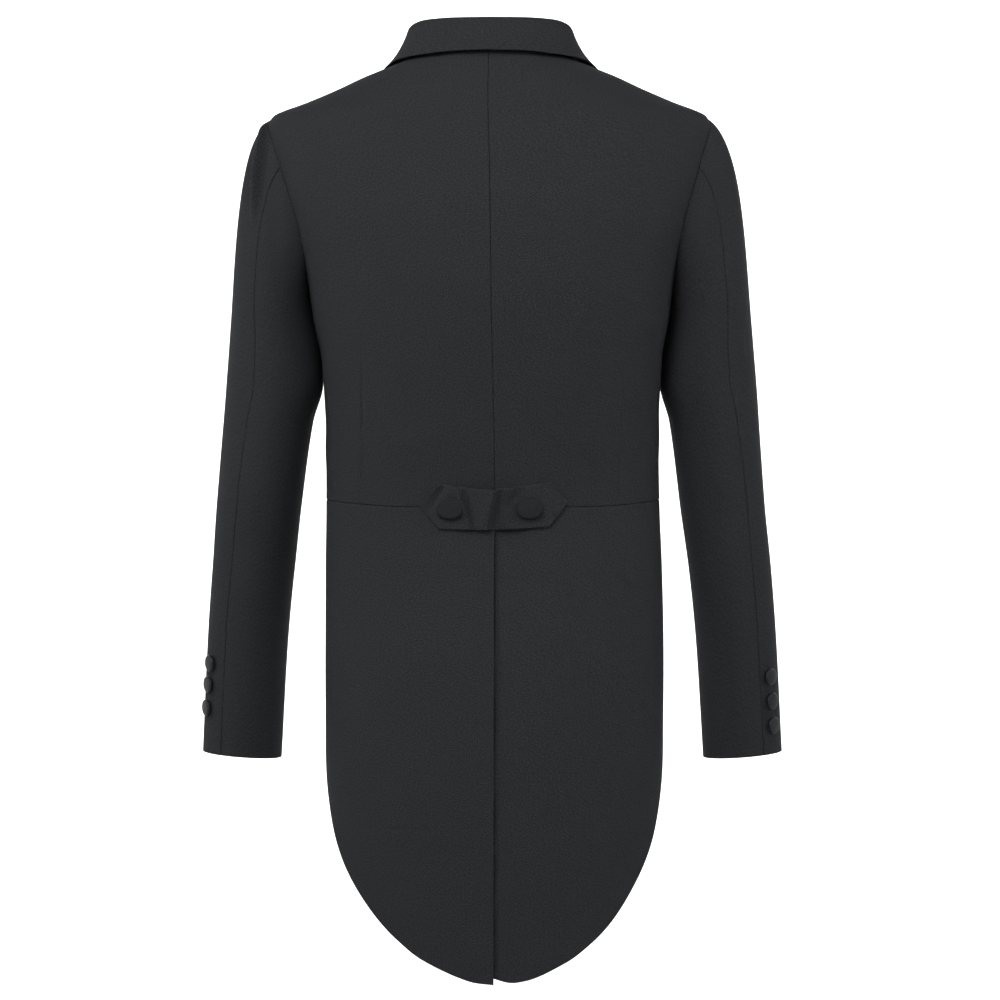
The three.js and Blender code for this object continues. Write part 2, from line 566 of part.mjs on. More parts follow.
// The turned-down part: over the top of the stand and down to its edge, then along the chest to the notch
function collarFall() {
  const over = [{ across: -1.8, up: 2.4 }, { across: 0.8, up: 2.3 }, { across: 2.6, up: 0.4 }];
  const sheet = (station, r) => {
    const s = Math.abs(station);
    const onChest = ease((s - STAND_LAST) / (CHEST_FIRST - STAND_LAST));
    const roll = rollPoint(s);
    const edge = offBody(collar.angle(s), collar.edgeZ(s), collar.lift(s));
    const outward = new THREE.Vector3(roll.x, roll.y, 0).normalize();
    const k = Math.min(r, 2) % 1;
    const [a, b] = r < 1 ? [over[0], over[1]] : [over[1], over[2]];
    const t = r >= 2 ? 1 : k;
    const curl = roll.clone().addScaledVector(outward, mix(a.across, b.across, t));
    curl.z += mix(a.up, b.up, t);
    const down = clamp01(r - 2);
    const hanging = curl.lerp(edge, down);
    hanging.addScaledVector(outward, 1.2 * Math.sin(Math.PI * down));
    if (onChest === 0) return toSide(station, hanging);
    const end = Math.max(0, (s - STAND_LAST) / (LAST - STAND_LAST));
    const dip = (down < 0.7 ? down / 0.7 : (1 - down) / 0.3) * (LAPEL.notch.z - mix(-28, -38, 0.7) + 1.5);
    const x = mix(roll.x, edge.x, down);
    const z = mix(roll.z, edge.z, down) + dip * end ** 2;
    const rise = 1.2 * Math.sin(Math.PI * down) + Math.min(1, r / 2) * 0.5 - 0.5;
    const lying = offBody(angleAcross(x, z, 'front'), z, LAY + rise);
    lying.x -= (1 - Math.min(1, r / 2)) * 1.2;
    return toSide(station, hanging.lerp(lying, onChest));
  };
  return wall(steps(32, -LAST, LAST), [0.25, 1, 2, ...steps(5, 2, 3).slice(1)], withOut(sheet));
}

// The half belt: buttoned flat at both ends, with the slack between them standing up in folds
function tabHeight(x, z) {
  const slack = Math.exp(-(((x - 2) / 31) ** 6));
  const folds = TAB_FOLDS.reduce((sum, fold) => {
    const across = (x - fold.x - fold.lean * (z - TAB.midZ)) / fold.width;
    return sum + fold.height * Math.exp(-across * across);
  }, 0);
  return slack * (1 + Math.max(-0.8, folds));
}
const onTab = (u, v) => {
  const along = mix(1, -1, u);
  const x = TAB.middleX + TAB.halfLength * along;
  const taper = clamp01((1 - Math.abs(along)) * TAB.halfLength / TAB.pointed);
  const half = mix(0.8, TAB.halfWidth, taper);
  const sag = TAB.sag * (1 - along * along) ** 2;
  return [x, TAB.midZ + TAB.tilt * x + half * (1 - 2 * v) - sag * (1 - 0.4 * v) * taper];
};
function backTab() {
  const sheet = (u, v, out) => {
    const [x, z] = onTab(u, v);
    return offBody(angleAcross(x, z, 'back'), z, out + LAY + 0.5 + tabHeight(x, z));
  };
  const shoulder = TAB.pointed / (2 * TAB.halfLength);
  const columns = [0, shoulder / 2, ...steps(22, shoulder, 1 - shoulder), 1 - shoulder / 2, 1];
  return wall(columns, steps(5), (u, v, out) => sheet(1 - u, v, out));
}

// A cloth-covered button on a short shank
function coveredButton({ radius, height }) {
  const profile = [
    [0, 0], [radius * 0.4, 0], [radius * 0.4, 1.4], [radius * 0.86, 1.7], [radius, 2.7],
    [radius * 0.88, height * 0.8], [0, height],
  ];
  return new THREE.LatheGeometry(profile.map(([r, h]) => new THREE.Vector2(r, h)), 14);
}
function addButton(name, size, seat, outward) {
  const up = UP.clone().projectOnPlane(outward).normalize();
  const across = outward.clone().cross(up);
  const button = coveredButton(size).scale(1, 1, size.upright / size.radius);
  button.applyMatrix4(new THREE.Matrix4().makeBasis(across, outward, up));
  button.translate(...seat.clone().addScaledVector(outward, SEAM).toArray());
  add(name, button, BUTTON_BLACK);
}

add('back_left', backPanel());
add('back_right', mirrored(backPanel()));
add('side_body_left', sideBody());
add('side_body_right', mirrored(sideBody()));
add('front_left', frontPanel(1));
add('front_right', mirrored(frontPanel(-1)));
add('tail_left', tail('left', 0, 0));
add('tail_right', mirrored(tail('right', -VENT_OVERLAP, VENT_STEP)));
add('top_sleeve_left', sleevePanel(HINDARM_SEAM, FOREARM_SEAM - 360));
add('top_sleeve_right', mirrored(sleevePanel(HINDARM_SEAM, FOREARM_SEAM - 360)));
add('under_sleeve_left', sleevePanel(FOREARM_SEAM, HINDARM_SEAM));
add('under_sleeve_right', mirrored(sleevePanel(FOREARM_SEAM, HINDARM_SEAM)));
add('collar_stand', collarStand());
add('collar_fall', collarFall());
add('lapel_left', lapel(1, LAPEL_FEET.left));
add('lapel_right', mirrored(lapel(-1, LAPEL_FEET.right)));
add('back_tab', backTab());

TAB_BUTTONS.forEach(({ x, z }, i) => {
  const angle = angleAcross(x, z, 'back');
  const seat = offBody(angle, z, LAY + 1.15 + tabHeight(x, z));
  const outward = offBody(angle, z, 1).sub(offBody(angle, z, 0));
  addButton(`tab_button_${['left', 'right'][i]}`, TAB_BUTTON, seat, outward);
});

for (const { name, z, angle } of CUFF_BUTTONS) {
  const along = 1 + (z - RING_Z) / (CUFF_Z - RING_Z);
  const seat = offSleeve(angle, along, 0.2);
  const outward = offSleeve(angle, along, 1.2).sub(seat);
  if (name.startsWith('right')) {
    seat.x = -seat.x;
    outward.x = -outward.x;
  }
  addButton(`cuff_button_${name}`, CUFF_BUTTON, seat, outward);
}

const frontAngle = angleAcross(0, BUTTON_Z - 12, 'front');
const frontSeat = offBody(frontAngle, BUTTON_Z - 12, LAP_STEP + 0.2);
addButton('front_button', FRONT_BUTTON, frontSeat, new THREE.Vector3(0, -1, 0));

export default coat;
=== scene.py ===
import math

import bpy
import numpy as np
from mathutils import Matrix, Vector


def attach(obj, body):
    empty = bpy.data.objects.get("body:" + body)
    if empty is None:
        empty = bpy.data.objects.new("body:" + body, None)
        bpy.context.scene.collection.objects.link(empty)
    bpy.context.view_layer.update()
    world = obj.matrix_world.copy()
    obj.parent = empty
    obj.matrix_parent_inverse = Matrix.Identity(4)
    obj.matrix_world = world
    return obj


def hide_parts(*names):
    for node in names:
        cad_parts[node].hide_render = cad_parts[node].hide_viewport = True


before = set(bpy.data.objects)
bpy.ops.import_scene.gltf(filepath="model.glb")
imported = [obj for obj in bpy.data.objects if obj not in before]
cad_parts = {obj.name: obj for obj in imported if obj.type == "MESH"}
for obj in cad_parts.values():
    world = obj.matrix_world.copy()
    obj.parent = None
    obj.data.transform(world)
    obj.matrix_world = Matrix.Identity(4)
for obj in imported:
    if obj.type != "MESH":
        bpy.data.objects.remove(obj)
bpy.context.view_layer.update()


# The two back panels: wool twill cut from the neck to the waist, joined down the centre back and pressed
# open, with a long dart in each. They carry the coat's section, so its sizes stand here, in millimetres,
# with the angle going round the body from the centre back.


def table(columns, rows):
    return [dict(zip(columns.split(), row)) for row in rows]


# At each height, the coat's half width, depths, and how square it is
BODY = table("z half back front back_square front_square", [
    (50, 76, 44, 44, 2.1, 2.1),
    (20, 77, 47, 45, 2.1, 2.1),
    (13, 79, 50, 47, 2.1, 2.1),
    (0, 106.5, 58, 55, 2.1, 2.1),
    (-8, 126.5, 63, 60, 2.1, 2.1),
    (-20, 152, 69, 65, 2.1, 2.1),
    (-34, 184, 76, 72, 2.2, 2.2),
    (-48, 217, 82, 78, 2.3, 2.25),
    (-64, 224.5, 88, 84, 2.4, 2.35),
    (-103, 217, 99, 99, 2.7, 2.6),
    (-160, 196, 109, 114, 3.0, 2.8),
    (-212, 182.5, 111, 117, 2.8, 2.7),
    (-250, 177.5, 108, 115, 2.7, 2.6),
    (-290, 170.5, 102, 110, 2.6, 2.55),
    (-370, 166, 88, 101, 2.4, 2.4),
    (-434, 166.5, 79, 98, 2.35, 2.35),
    (-500, 168, 86, 100, 2.3, 2.3),
    (-600, 168.5, 102, 102, 2.35, 2.3),
    (-720, 168.5, 109, 104, 2.4, 2.3),
    (-910, 168.5, 111, 106, 2.4, 2.3),
])
# How it hangs: turned about the upright by degrees, and shifted across
WORN = table("z turn shift", [
    (60, 1.2, 1.5),
    (-20, 1.4, 2),
    (-60, 0.4, 2.6),
    (-110, 0.1, 1.8),
    (-200, -0.1, 1.2),
    (-270, -0.4, 0.5),
    (-430, -1.6, -1),
    (-500, -0.3, -1.8),
    (-650, 0.1, -2.4),
    (-920, 0.4, -2.5),
])
CLOTH = 1.6                     # wool, canvas and lining pressed together
SHOULDER_TIP_Z = -48
NECK_SIDE_Z = 13
NECK_BACK_RISE = 5
WAIST_BACK_Z = -437
WAIST_SIDE_RISE = 8
ARMHOLE = dict(mid_z=-130, half_height=82, half_width=51, full_below=0.12)
SIDE_BODY_BACK = 140
SIDE_BODY_FRONT = 220
SIDE_BACK_WAIST = 80
SIDE_FRONT_WAIST = 107
SLEEVE_FREE_Z = -360
SLEEVE_FREE_RUN = 60


def mix(a, b, t):
    return a + (b - a) * t


def ease(t):
    t = np.clip(t, 0, 1)
    return t * t * (3 - 2 * t)


def through(table, over, column):
    """A smooth curve through one column of a table that never overshoots between rows."""
    rows = sorted(table, key=lambda row: row[over])
    x = np.array([row[over] for row in rows], float)
    y = np.array([row[column] for row in rows], float)
    slope = np.diff(y) / np.diff(x)
    a, b = slope[:-1], slope[1:]
    both = np.where(a * b > 0, a + b, 1)
    inner = np.where(a * b > 0, 2 * a * b / both, 0)
    tangent = np.concatenate([[slope[0]], inner, [slope[-1]]])

    def at(value):
        value = np.asarray(value, float)
        i = np.clip(np.searchsorted(x, value) - 1, 0, len(x) - 2)
        h = x[i + 1] - x[i]
        t = np.clip((value - x[i]) / h, 0, 1)
        inside = ((1 - t) ** 2 * ((1 + 2 * t) * y[i] + t * h * tangent[i])
                  + t ** 2 * ((3 - 2 * t) * y[i + 1] - (1 - t) * h * tangent[i + 1]))
        before = np.minimum(0, value - x[0]) * tangent[0]
        after = np.maximum(0, value - x[-1]) * tangent[-1]
        return inside + before + after
    return at


body = {c: through(BODY, "z", c) for c in ("half", "back", "front", "back_square", "front_square")}
worn = {c: through(WORN, "z", c) for c in ("turn", "shift")}


def on_body(angle, z):
    angle, z = np.broadcast_arrays(np.asarray(angle, float), np.asarray(z, float))
    sin, cos = np.sin(np.radians(angle)), np.cos(np.radians(angle))
    behind = cos >= 0
    square = np.where(behind, body["back_square"](z), body["front_square"](z))
    depth = np.where(behind, body["back"](z), body["front"](z))
    reach = (np.abs(sin) / body["half"](z)) ** square + (np.abs(cos) / depth) ** square
    radius = reach ** (-1 / square)
    return np.stack([radius * sin, radius * cos, z], -1)


def body_normal(angle, z):
    normal = np.cross(on_body(np.add(angle, 0.01), z) - on_body(np.subtract(angle, 0.01), z),
                      on_body(angle, np.subtract(z, 0.01)) - on_body(angle, np.add(z, 0.01)))
    return normal / np.linalg.norm(normal, axis=-1, keepdims=True)


def angle_at_depth(y, z):
    square = np.where(y >= 0, body["back_square"](z), body["front_square"](z))
    depth = np.where(y >= 0, body["back"](z), body["front"](z))
    x = body["half"](z) * (1 - np.abs(y / depth) ** square) ** (1 / square)
    return np.degrees(np.arctan2(x, y))


def angle_across(x, z, side):
    square = body[side + "_square"](z)
    y = body[side](z) * np.maximum(0, 1 - np.abs(x / body["half"](z)) ** square) ** (1 / square)
    angle = np.degrees(np.arctan2(x, y if side == "back" else -y))
    return np.where((side == "front") & (angle < 0), angle + 360, angle)


def as_worn(points, on_sleeve=False):
    """How the coat hangs on its wearer. Below the elbow, a sleeve hangs free of the body's shift."""
    turn = -np.radians(worn["turn"](points[..., 2]))
    shift = worn["shift"](points[..., 2])
    if on_sleeve:
        shift = shift * ease((points[..., 2] - SLEEVE_FREE_Z) / SLEEVE_FREE_RUN)
    x, y = points[..., 0], points[..., 1]
    return np.stack([x * np.cos(turn) - y * np.sin(turn) + shift,
                     x * np.sin(turn) + y * np.cos(turn), points[..., 2]], -1)


def armhole(around):
    sin, cos = np.sin(np.radians(around)), np.cos(np.radians(around))
    y = ARMHOLE["half_width"] * sin * (1 - ARMHOLE["full_below"] * cos)
    return y, ARMHOLE["mid_z"] + ARMHOLE["half_height"] * cos


def armhole_angle(around):
    return angle_at_depth(*armhole(around))


def side_seam(around, waist_angle):
    top = armhole(around)[1]
    return lambda z: mix(armhole_angle(around), waist_angle, ease((top - z) / (top - WAIST_BACK_Z)))


side_back_seam = side_seam(SIDE_BODY_BACK, SIDE_BACK_WAIST)
side_front_seam = side_seam(SIDE_BODY_FRONT, SIDE_FRONT_WAIST)
SEAM_TOP_Z = armhole(SIDE_BODY_BACK)[1]


def waist_z(angle):
    return WAIST_BACK_Z + WAIST_SIDE_RISE * ease((angle - 50) / 45)


def neck_back_z(angle):
    return NECK_SIDE_Z + NECK_BACK_RISE * np.cos(np.radians(angle)) ** 2


def steps(count, low=0.0, high=1.0):
    return np.linspace(low, high, count + 1)


def close_to_edges(count, length, low=0.0, high=1.0):
    """Even steps with a few more by both ends, where the cloth turns down into a seam or an edge."""
    near = np.array([0.45, 1.0, 1.7, 2.8]) / length
    even = steps(count)
    clear = near[-1] * 1.4
    even = even[(even < 1e-9) | (even > 1 - 1e-9) | ((even > clear) & (even < 1 - clear))]
    return mix(low, high, np.unique(np.concatenate([even, near, 1 - near])))


def closer_at(middle, count, length):
    """The same, with more steps in the middle too, where a dart or a pleat is pressed in."""
    even = steps(1000)
    run = np.cumsum(1 + 7 * np.exp(-((even - middle) / 0.035) ** 2))
    columns = np.interp(steps(count), (run - run[0]) / (run[-1] - run[0]), even)
    near = close_to_edges(count, length)[[1, 2, 3, 4, -5, -4, -3, -2]]
    return np.unique(np.concatenate([[0, 1], near, columns[(columns > near[3]) & (columns < near[4])]]))


PANEL_ROWS = np.unique(np.concatenate([
    close_to_edges(18, 75), steps(60, 1, 2), close_to_edges(64, 245, 2, 3),
]))


def panel_height(v, neck, hem):
    level = np.where(v <= 1, mix(neck, SHOULDER_TIP_Z, np.minimum(v, 1)),
                     armhole((v - 1) * SIDE_BODY_BACK)[1])
    return np.where(v > 2, mix(SEAM_TOP_Z, hem, v - 2), level)


def creases(points, normals, table):
    """Height of a table's soft folds. A row gives the side that it is on, its two ends across and up that
    side, its height, its half width, and how far it bows to its left."""
    total = np.zeros(points.shape[:2])
    for side, start, end, height, width, bow in table:
        axis, out = {"back": (0, (0, 1, 0)), "front": (0, (0, -1, 0)),
                     "left": (1, (1, 0, 0)), "right": (1, (-1, 0, 0))}[side]
        start, end = np.array(start, float), np.array(end, float)
        flat = np.stack([points[..., axis], points[..., 2]], -1) - start
        run = end - start
        length = np.linalg.norm(run)
        run = run / length
        t = np.clip((flat @ run) / length, 0, 1)
        off = flat @ np.array([-run[1], run[0]]) - bow * np.sin(np.pi * t)
        past = np.maximum(0, np.abs((flat @ run) / length - 0.5) - 0.5) * length
        fade = np.sin(np.pi * np.clip(t, 0.02, 0.98)) ** 0.7
        facing = ease(normals @ np.array(out, float) * 1.6)
        total += height * fade * facing * np.exp(-(off / width) ** 2 - (past / width) ** 2)
    return total


def rounded(distance, radius):
    near = np.clip(1 - distance / radius, 0, 1)
    return radius * (1 - np.sqrt(1 - near ** 2))


def lengths(points, axis):
    step = np.linalg.norm(np.diff(points, axis=axis), axis=-1)
    start = np.zeros_like(step.take([0], axis))
    return np.concatenate([start, np.cumsum(step, axis)], axis)


# How far an edge goes down, and over what width: the cloth dips into a seam on its seen side alone, and
# thins on both sides at a folded or a pressed edge. A seam's turnings lie open on the inside.
EDGE_DROP = dict(seam=(1.1, 1.9), fold=(0.75, 0.8), pressed=(1.2, 1.7), none=(0, 1))
SEAM_ALLOWANCE = 1.3
TURNING = 9


def cloth_piece(name, points, edges, folds=(), thickness=CLOTH):
    """A thin closed shell of cloth. points is a grid of its seen side, whose rows run down; edges names
    how its left, right, top and bottom edges end, as EDGE_DROP does."""
    across, down = lengths(points, 1), lengths(points, 0)
    normals = np.cross(np.gradient(points, axis=1), np.gradient(points, axis=0))
    normals /= np.linalg.norm(normals, axis=-1, keepdims=True)
    height = creases(points, normals, folds)
    sink, rise, under = (np.zeros_like(height) for _ in range(3))
    to_edge = (across, across[:, -1:] - across, down, down[-1:] - down)
    for kind, distance in zip(edges, to_edge):
        depth, radius = EDGE_DROP[kind]
        drop = rounded(distance, radius) * depth / radius
        sink = np.maximum(sink, drop)
        if kind in ("fold", "pressed"):
            rise = np.maximum(rise, drop)
        if kind == "seam":
            under = np.maximum(under, SEAM_ALLOWANCE * (1 - ease((distance - TURNING) / 1.5)))
    seen = points + normals * (height - sink)[..., None]
    inner = points + normals * (height - thickness + rise - under * (1 - rise / thickness))[..., None]
    rows, columns = points.shape[:2]
    count = rows * columns
    index = np.arange(count).reshape(rows, columns)
    a, b, c, d = index[:-1, :-1], index[:-1, 1:], index[1:, 1:], index[1:, :-1]
    front = np.stack([a, b, c, d], -1).reshape(-1, 4)
    rim = np.concatenate([index[0], index[1:, -1], index[-1, -2::-1], index[-2:0:-1, 0]])
    after = np.roll(rim, -1)
    sides = np.stack([rim + count, after + count, after, rim], -1)
    faces = np.concatenate([front, front[:, ::-1] + count, sides])
    vertices = np.concatenate([seen.reshape(-1, 3), inner.reshape(-1, 3)]) / 1000
    mesh = bpy.data.meshes.new(name)
    mesh.from_pydata(vertices.tolist(), [], faces.tolist())
    uv = np.tile(np.stack([across, -down], -1).reshape(-1, 2) / 1000, (2, 1))
    layer = mesh.uv_layers.new(name="Cloth")
    corners = np.empty(len(mesh.loops), np.int32)
    mesh.loops.foreach_get("vertex_index", corners)
    layer.data.foreach_set("uv", uv[corners].ravel().astype(np.float32))
    mesh.shade_smooth()
    piece = bpy.data.objects.new(name, mesh)
    bpy.context.collection.objects.link(piece)
    return piece


def hand_over(piece, node, material):
    if material.name not in piece.data.materials:
        piece.data.materials.append(material)
    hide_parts(node)
    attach(piece, "root")


def linear(colour):
    """An sRGB hex colour as linear RGBA."""
    parts = [int(colour[i:i + 2], 16) / 255 for i in (1, 3, 5)]
    return [p / 12.92 if p <= 0.04045 else ((p + 0.055) / 1.055) ** 2.4 for p in parts] + [1.0]


def new_material(name):
    material = bpy.data.materials.new(name)
    material.use_nodes = True
    return material, material.node_tree, material.node_tree.nodes["Principled BSDF"]


def node(tree, kind, links=(), **settings):
    """Adds a node: links are (own input, other node, its output), and settings are values or attributes."""
    made = tree.nodes.new(kind)
    for key, value in settings.items():
        if key in made.inputs:
            made.inputs[key].default_value = value
        else:
            setattr(made, key.replace(" ", "_").lower(), value)
    for own, other, output in links:
        tree.links.new(other.outputs[output], made.inputs[own])
    return made


# Worsted wool twill, dyed black and lightly milled: the nap hides most of the twill and leaves a fine grey
# fleck. The real wale is 0.5 mm; it is drawn at 1.1 mm, the finest that shows.

WOOL_BLACK = "#17181a"
WOOL_FLECK = "#3d3e41"
WALE = 0.0011
WALE_SLOPE = 52                 # degrees
FLECK = 0.0013


def wool_twill(name):
    material, tree, shader = new_material(name)
    place = node(tree, "ShaderNodeUVMap", uv_map="Cloth")
    fleck = node(tree, "ShaderNodeTexNoise", [("Vector", place, "UV")],
                 Scale=1 / FLECK, Detail=3.0, Roughness=0.75)
    turned = node(tree, "ShaderNodeMapping", [("Vector", place, "UV")],
                  Rotation=(0, 0, math.radians(WALE_SLOPE)))
    wale = node(tree, "ShaderNodeTexWave", [("Vector", turned, "Vector")],
                Scale=2 * math.pi / WALE / 20, Distortion=1.2)
    shade = node(tree, "ShaderNodeMapRange", [("Value", fleck, "Fac")],
                 **{"From Min": 0.3, "From Max": 0.7})
    colour = node(tree, "ShaderNodeMix", [("Factor", shade, "Result")], data_type="RGBA")
    colour.inputs["A"].default_value = linear(WOOL_BLACK)
    colour.inputs["B"].default_value = linear(WOOL_FLECK)
    tree.links.new(colour.outputs["Result"], shader.inputs["Base Color"])
    threads = node(tree, "ShaderNodeMath", [(0, fleck, "Fac"), (1, wale, "Fac")], operation="MULTIPLY")
    bump = node(tree, "ShaderNodeBump", [("Height", threads, "Value")], Strength=0.35, Distance=0.0004)
    tree.links.new(bump.outputs["Normal"], shader.inputs["Normal"])
    shader.inputs["Roughness"].default_value = 0.9
    shader.inputs["Specular IOR Level"].default_value = 0.12
    return material


coat_wool = wool_twill("black_worsted_twill")

BODY_FOLDS = [                  # they run on across the seams, so every panel of the body takes them
    ("back", (38, 11), (12, -8), 1.1, 3.5, 0),
    ("back", (50, 6), (20, -18), -0.8, 3.5, 1),
    ("back", (-34, 12), (-12, -4), 0.6, 4, 0),
    ("back", (172, -86), (150, -168), -1.3, 10, 6),
    ("back", (140, -70), (120, -150), 0.9, 14, -4),
    ("back", (-150, -84), (-166, -150), -1.2, 9, -4),
    ("back", (148, -200), (92, -330), -1.4, 15, 6),
    ("back", (140, -320), (64, -424), 1.0, 15, -8),
    ("back", (60, -70), (92, -300), -1.0, 26, 10),
    ("back", (-60, -66), (-108, -200), -1.3, 20, 12),
    ("back", (-142, -200), (-98, -300), -1.3, 14, -5),
    ("back", (-60, -150), (-30, -330), -1.1, 24, -6),
    ("back", (-134, -330), (-62, -424), 0.9, 15, 6),
    ("back", (30, -360), (120, -398), 0.7, 12, 4),
    ("back", (-24, -376), (-110, -404), -0.7, 11, -3),
    ("left", (40, -265), (-20, -330), -0.9, 12, 3),
    ("left", (-30, -350), (45, -400), 0.8, 12, -3),
    ("right", (30, -265), (-25, -325), -0.8, 11, -2),
    ("right", (-25, -340), (35, -400), 0.9, 13, 4),
    ("front", (8, -400), (78, -330), 1.3, 9, 3),
    ("front", (6, -408), (96, -392), -1.0, 8, -2),
    ("front", (4, -414), (70, -452), 0.9, 8, 3),
    ("front", (150, -200), (110, -300), -1.4, 15, 6),
    ("front", (150, -90), (112, -230), 1.0, 18, -6),
    ("front", (-8, -400), (-70, -322), 1.1, 9, -4),
    ("front", (-8, -409), (-100, -400), -1.2, 9, 2),
    ("front", (-6, -414), (-66, -456), 0.8, 8, -3),
    ("front", (-150, -210), (-116, -290), -1.2, 14, -5),
    ("front", (-150, -100), (-118, -210), 0.9, 16, 5),
    ("back", (112, -470), (142, -640), -1.3, 15, 5),
    ("back", (40, -560), (60, -800), 1.0, 24, -6),
    ("back", (100, -600), (92, -830), -0.9, 20, 8),
    ("back", (-142, -540), (-128, -660), -1.0, 16, -5),
    ("back", (-50, -580), (-66, -820), 1.0, 22, 7),
    ("back", (-104, -640), (-92, -800), -0.8, 18, -6),
    ("left", (30, -470), (20, -640), 1.0, 13, 4),
    ("right", (20, -480), (10, -650), 0.9, 14, -4),
]
DARTS = {
    "left": [("back", (127, -276), (126, -500), -1.9, 1.1, 0)],
    "right": [("back", (-130, -281), (-125, -500), -1.0, 1.1, 0)],
}
DART_AT = 0.75


def back_panel(side):
    u, v = np.meshgrid(closer_at(DART_AT, 110, 175), PANEL_ROWS)
    neck, hem = neck_back_z(90 * u), waist_z(SIDE_BACK_WAIST * u)
    z = panel_height(v, neck, hem)
    edge_z = panel_height(v, neck_back_z(90), waist_z(SIDE_BACK_WAIST))
    edge = np.where(v <= 1, 90, np.where(v < 2, armhole_angle((v - 1) * SIDE_BODY_BACK),
                                         side_back_seam(edge_z)))
    return on_body(edge * u, z)


def side_of(points, side):
    """The left-hand grid as it is, or mirrored for the right with its columns turned round."""
    if side == "left":
        return points
    points = points[:, ::-1].copy()
    points[..., 0] *= -1
    return points


for side in ("left", "right"):
    points = as_worn(side_of(back_panel(side), side))
    piece = cloth_piece(f"back_{side}_cloth", points, ("seam",) * 4, BODY_FOLDS + DARTS[side])
    hand_over(piece, "back_" + side, coat_wool)


# The side bodies: a narrow panel of the same wool under each armhole, hollowed for the arm at its top and
# sewn between the back and the front.

def side_body():
    u, v = np.meshgrid(close_to_edges(30, 90), close_to_edges(70, 245))
    around = mix(SIDE_BODY_BACK, SIDE_BODY_FRONT, u)
    bottom = waist_z(mix(SIDE_BACK_WAIST, SIDE_FRONT_WAIST, u))
    seam_z = mix(SEAM_TOP_Z, bottom, v)
    between = mix(side_back_seam(seam_z), side_front_seam(seam_z), u)
    straight = mix(armhole_angle(SIDE_BODY_BACK), armhole_angle(SIDE_BODY_FRONT), u)
    bend = (armhole_angle(around) - straight) * (1 - ease(v * 1.6))
    return on_body(between + bend, mix(armhole(around)[1], bottom, v))


for side in ("left", "right"):
    points = as_worn(side_of(side_body(), side))
    piece = cloth_piece(f"side_body_{side}_cloth", points, ("seam",) * 4, BODY_FOLDS)
    hand_over(piece, "side_body_" + side, coat_wool)


# The fronts: wool over canvas, from the shoulder and side seams to the roll line, lapping at the middle
# where one button closes them, and cut to a point below it. The left one lies on top.

NECK_FRONT_Z = 0
TAIL_FRONT = 120
FRONT_POINT_Z = -478
FRONT_POINT_ANGLE = 171
FRONT_POINT_RISE = 0.03
BUTTON_Z = -395
FRONT_LAP = 16
# At the lap the left front lies out by the step, and the right one in, as far as LAP_FROM from the middle.
# Over the run after it the step eases away.
LAP_STEP = 1.4
LAP_FROM = 14
LAP_RUN = 50
ROLL_TOP_X = 75


def roll_x(z):
    return mix(ROLL_TOP_X, -FRONT_LAP, np.clip((NECK_FRONT_Z - z) / (NECK_FRONT_Z - BUTTON_Z), 0, 1))


def front_edge(z):
    return angle_across(roll_x(z), z, "front")


def front_hem_z(angle):
    drop = np.clip((angle - TAIL_FRONT) / (FRONT_POINT_ANGLE - TAIL_FRONT), 0, 1)
    past = np.maximum(0, angle - FRONT_POINT_ANGLE)
    return mix(waist_z(angle), FRONT_POINT_Z, drop) + FRONT_POINT_RISE * past ** 2


def neck_front_z(angle):
    return mix(NECK_SIDE_Z, NECK_FRONT_Z, (angle - 90) / (front_edge(NECK_FRONT_Z) - 90))


def lap_out(x):
    return LAP_STEP * (1 - ease((np.abs(x) - LAP_FROM) / LAP_RUN))


def front_panel(lap):
    end, neck = front_edge(FRONT_POINT_Z), front_edge(NECK_FRONT_Z)
    u, v = np.meshgrid(close_to_edges(66, 225), PANEL_ROWS)
    z = panel_height(v, neck_front_z(mix(90, neck, u)), front_hem_z(mix(SIDE_FRONT_WAIST, end, u)))
    near_z = panel_height(v, NECK_SIDE_Z, front_hem_z(SIDE_FRONT_WAIST))
    edge_z = panel_height(v, neck_front_z(neck), front_hem_z(end))
    near = np.where(v <= 1, 90, np.where(v < 2, armhole_angle(360 - (v - 1) * SIDE_BODY_BACK),
                                         side_front_seam(near_z)))
    angle = mix(near, front_edge(edge_z), u)
    points = on_body(angle, z)
    return points + (lap * lap_out(points[..., 0]))[..., None] * body_normal(angle, z)


for side, lap in (("left", 1), ("right", -1)):
    points = as_worn(side_of(front_panel(lap), side))
    edges = ("seam", "fold") if side == "left" else ("fold", "seam")
    piece = cloth_piece(f"front_{side}_cloth", points, edges + ("seam", "fold"), BODY_FOLDS)
    hand_over(piece, "front_" + side, coat_wool)


# The tails: hung from the waist seam and cut away in one curve from the front to the vent, where the
# right one runs on under the left. A short pleat is pressed in below the side of the waist.

TAIL_HEM = table("angle left right", [
    (0, -898.6, -893),
    (9, -896.7, -896.8),
    (15, -893.3, -895.2),
    (34, -874.6, -877.6),
    (44, -856.3, -860.2),
    (51.4, -838, -842),
    (62.6, -801.3, -802),
    (71.4, -764, -764),
    (78, -726.4, -726.4),
    (84.5, -688, -688),
    (93, -625, -625),
    (105, -530, -530),
    (120, -429, -429),
])
TAIL_CORNER = 66
VENT_OVERLAP = 38
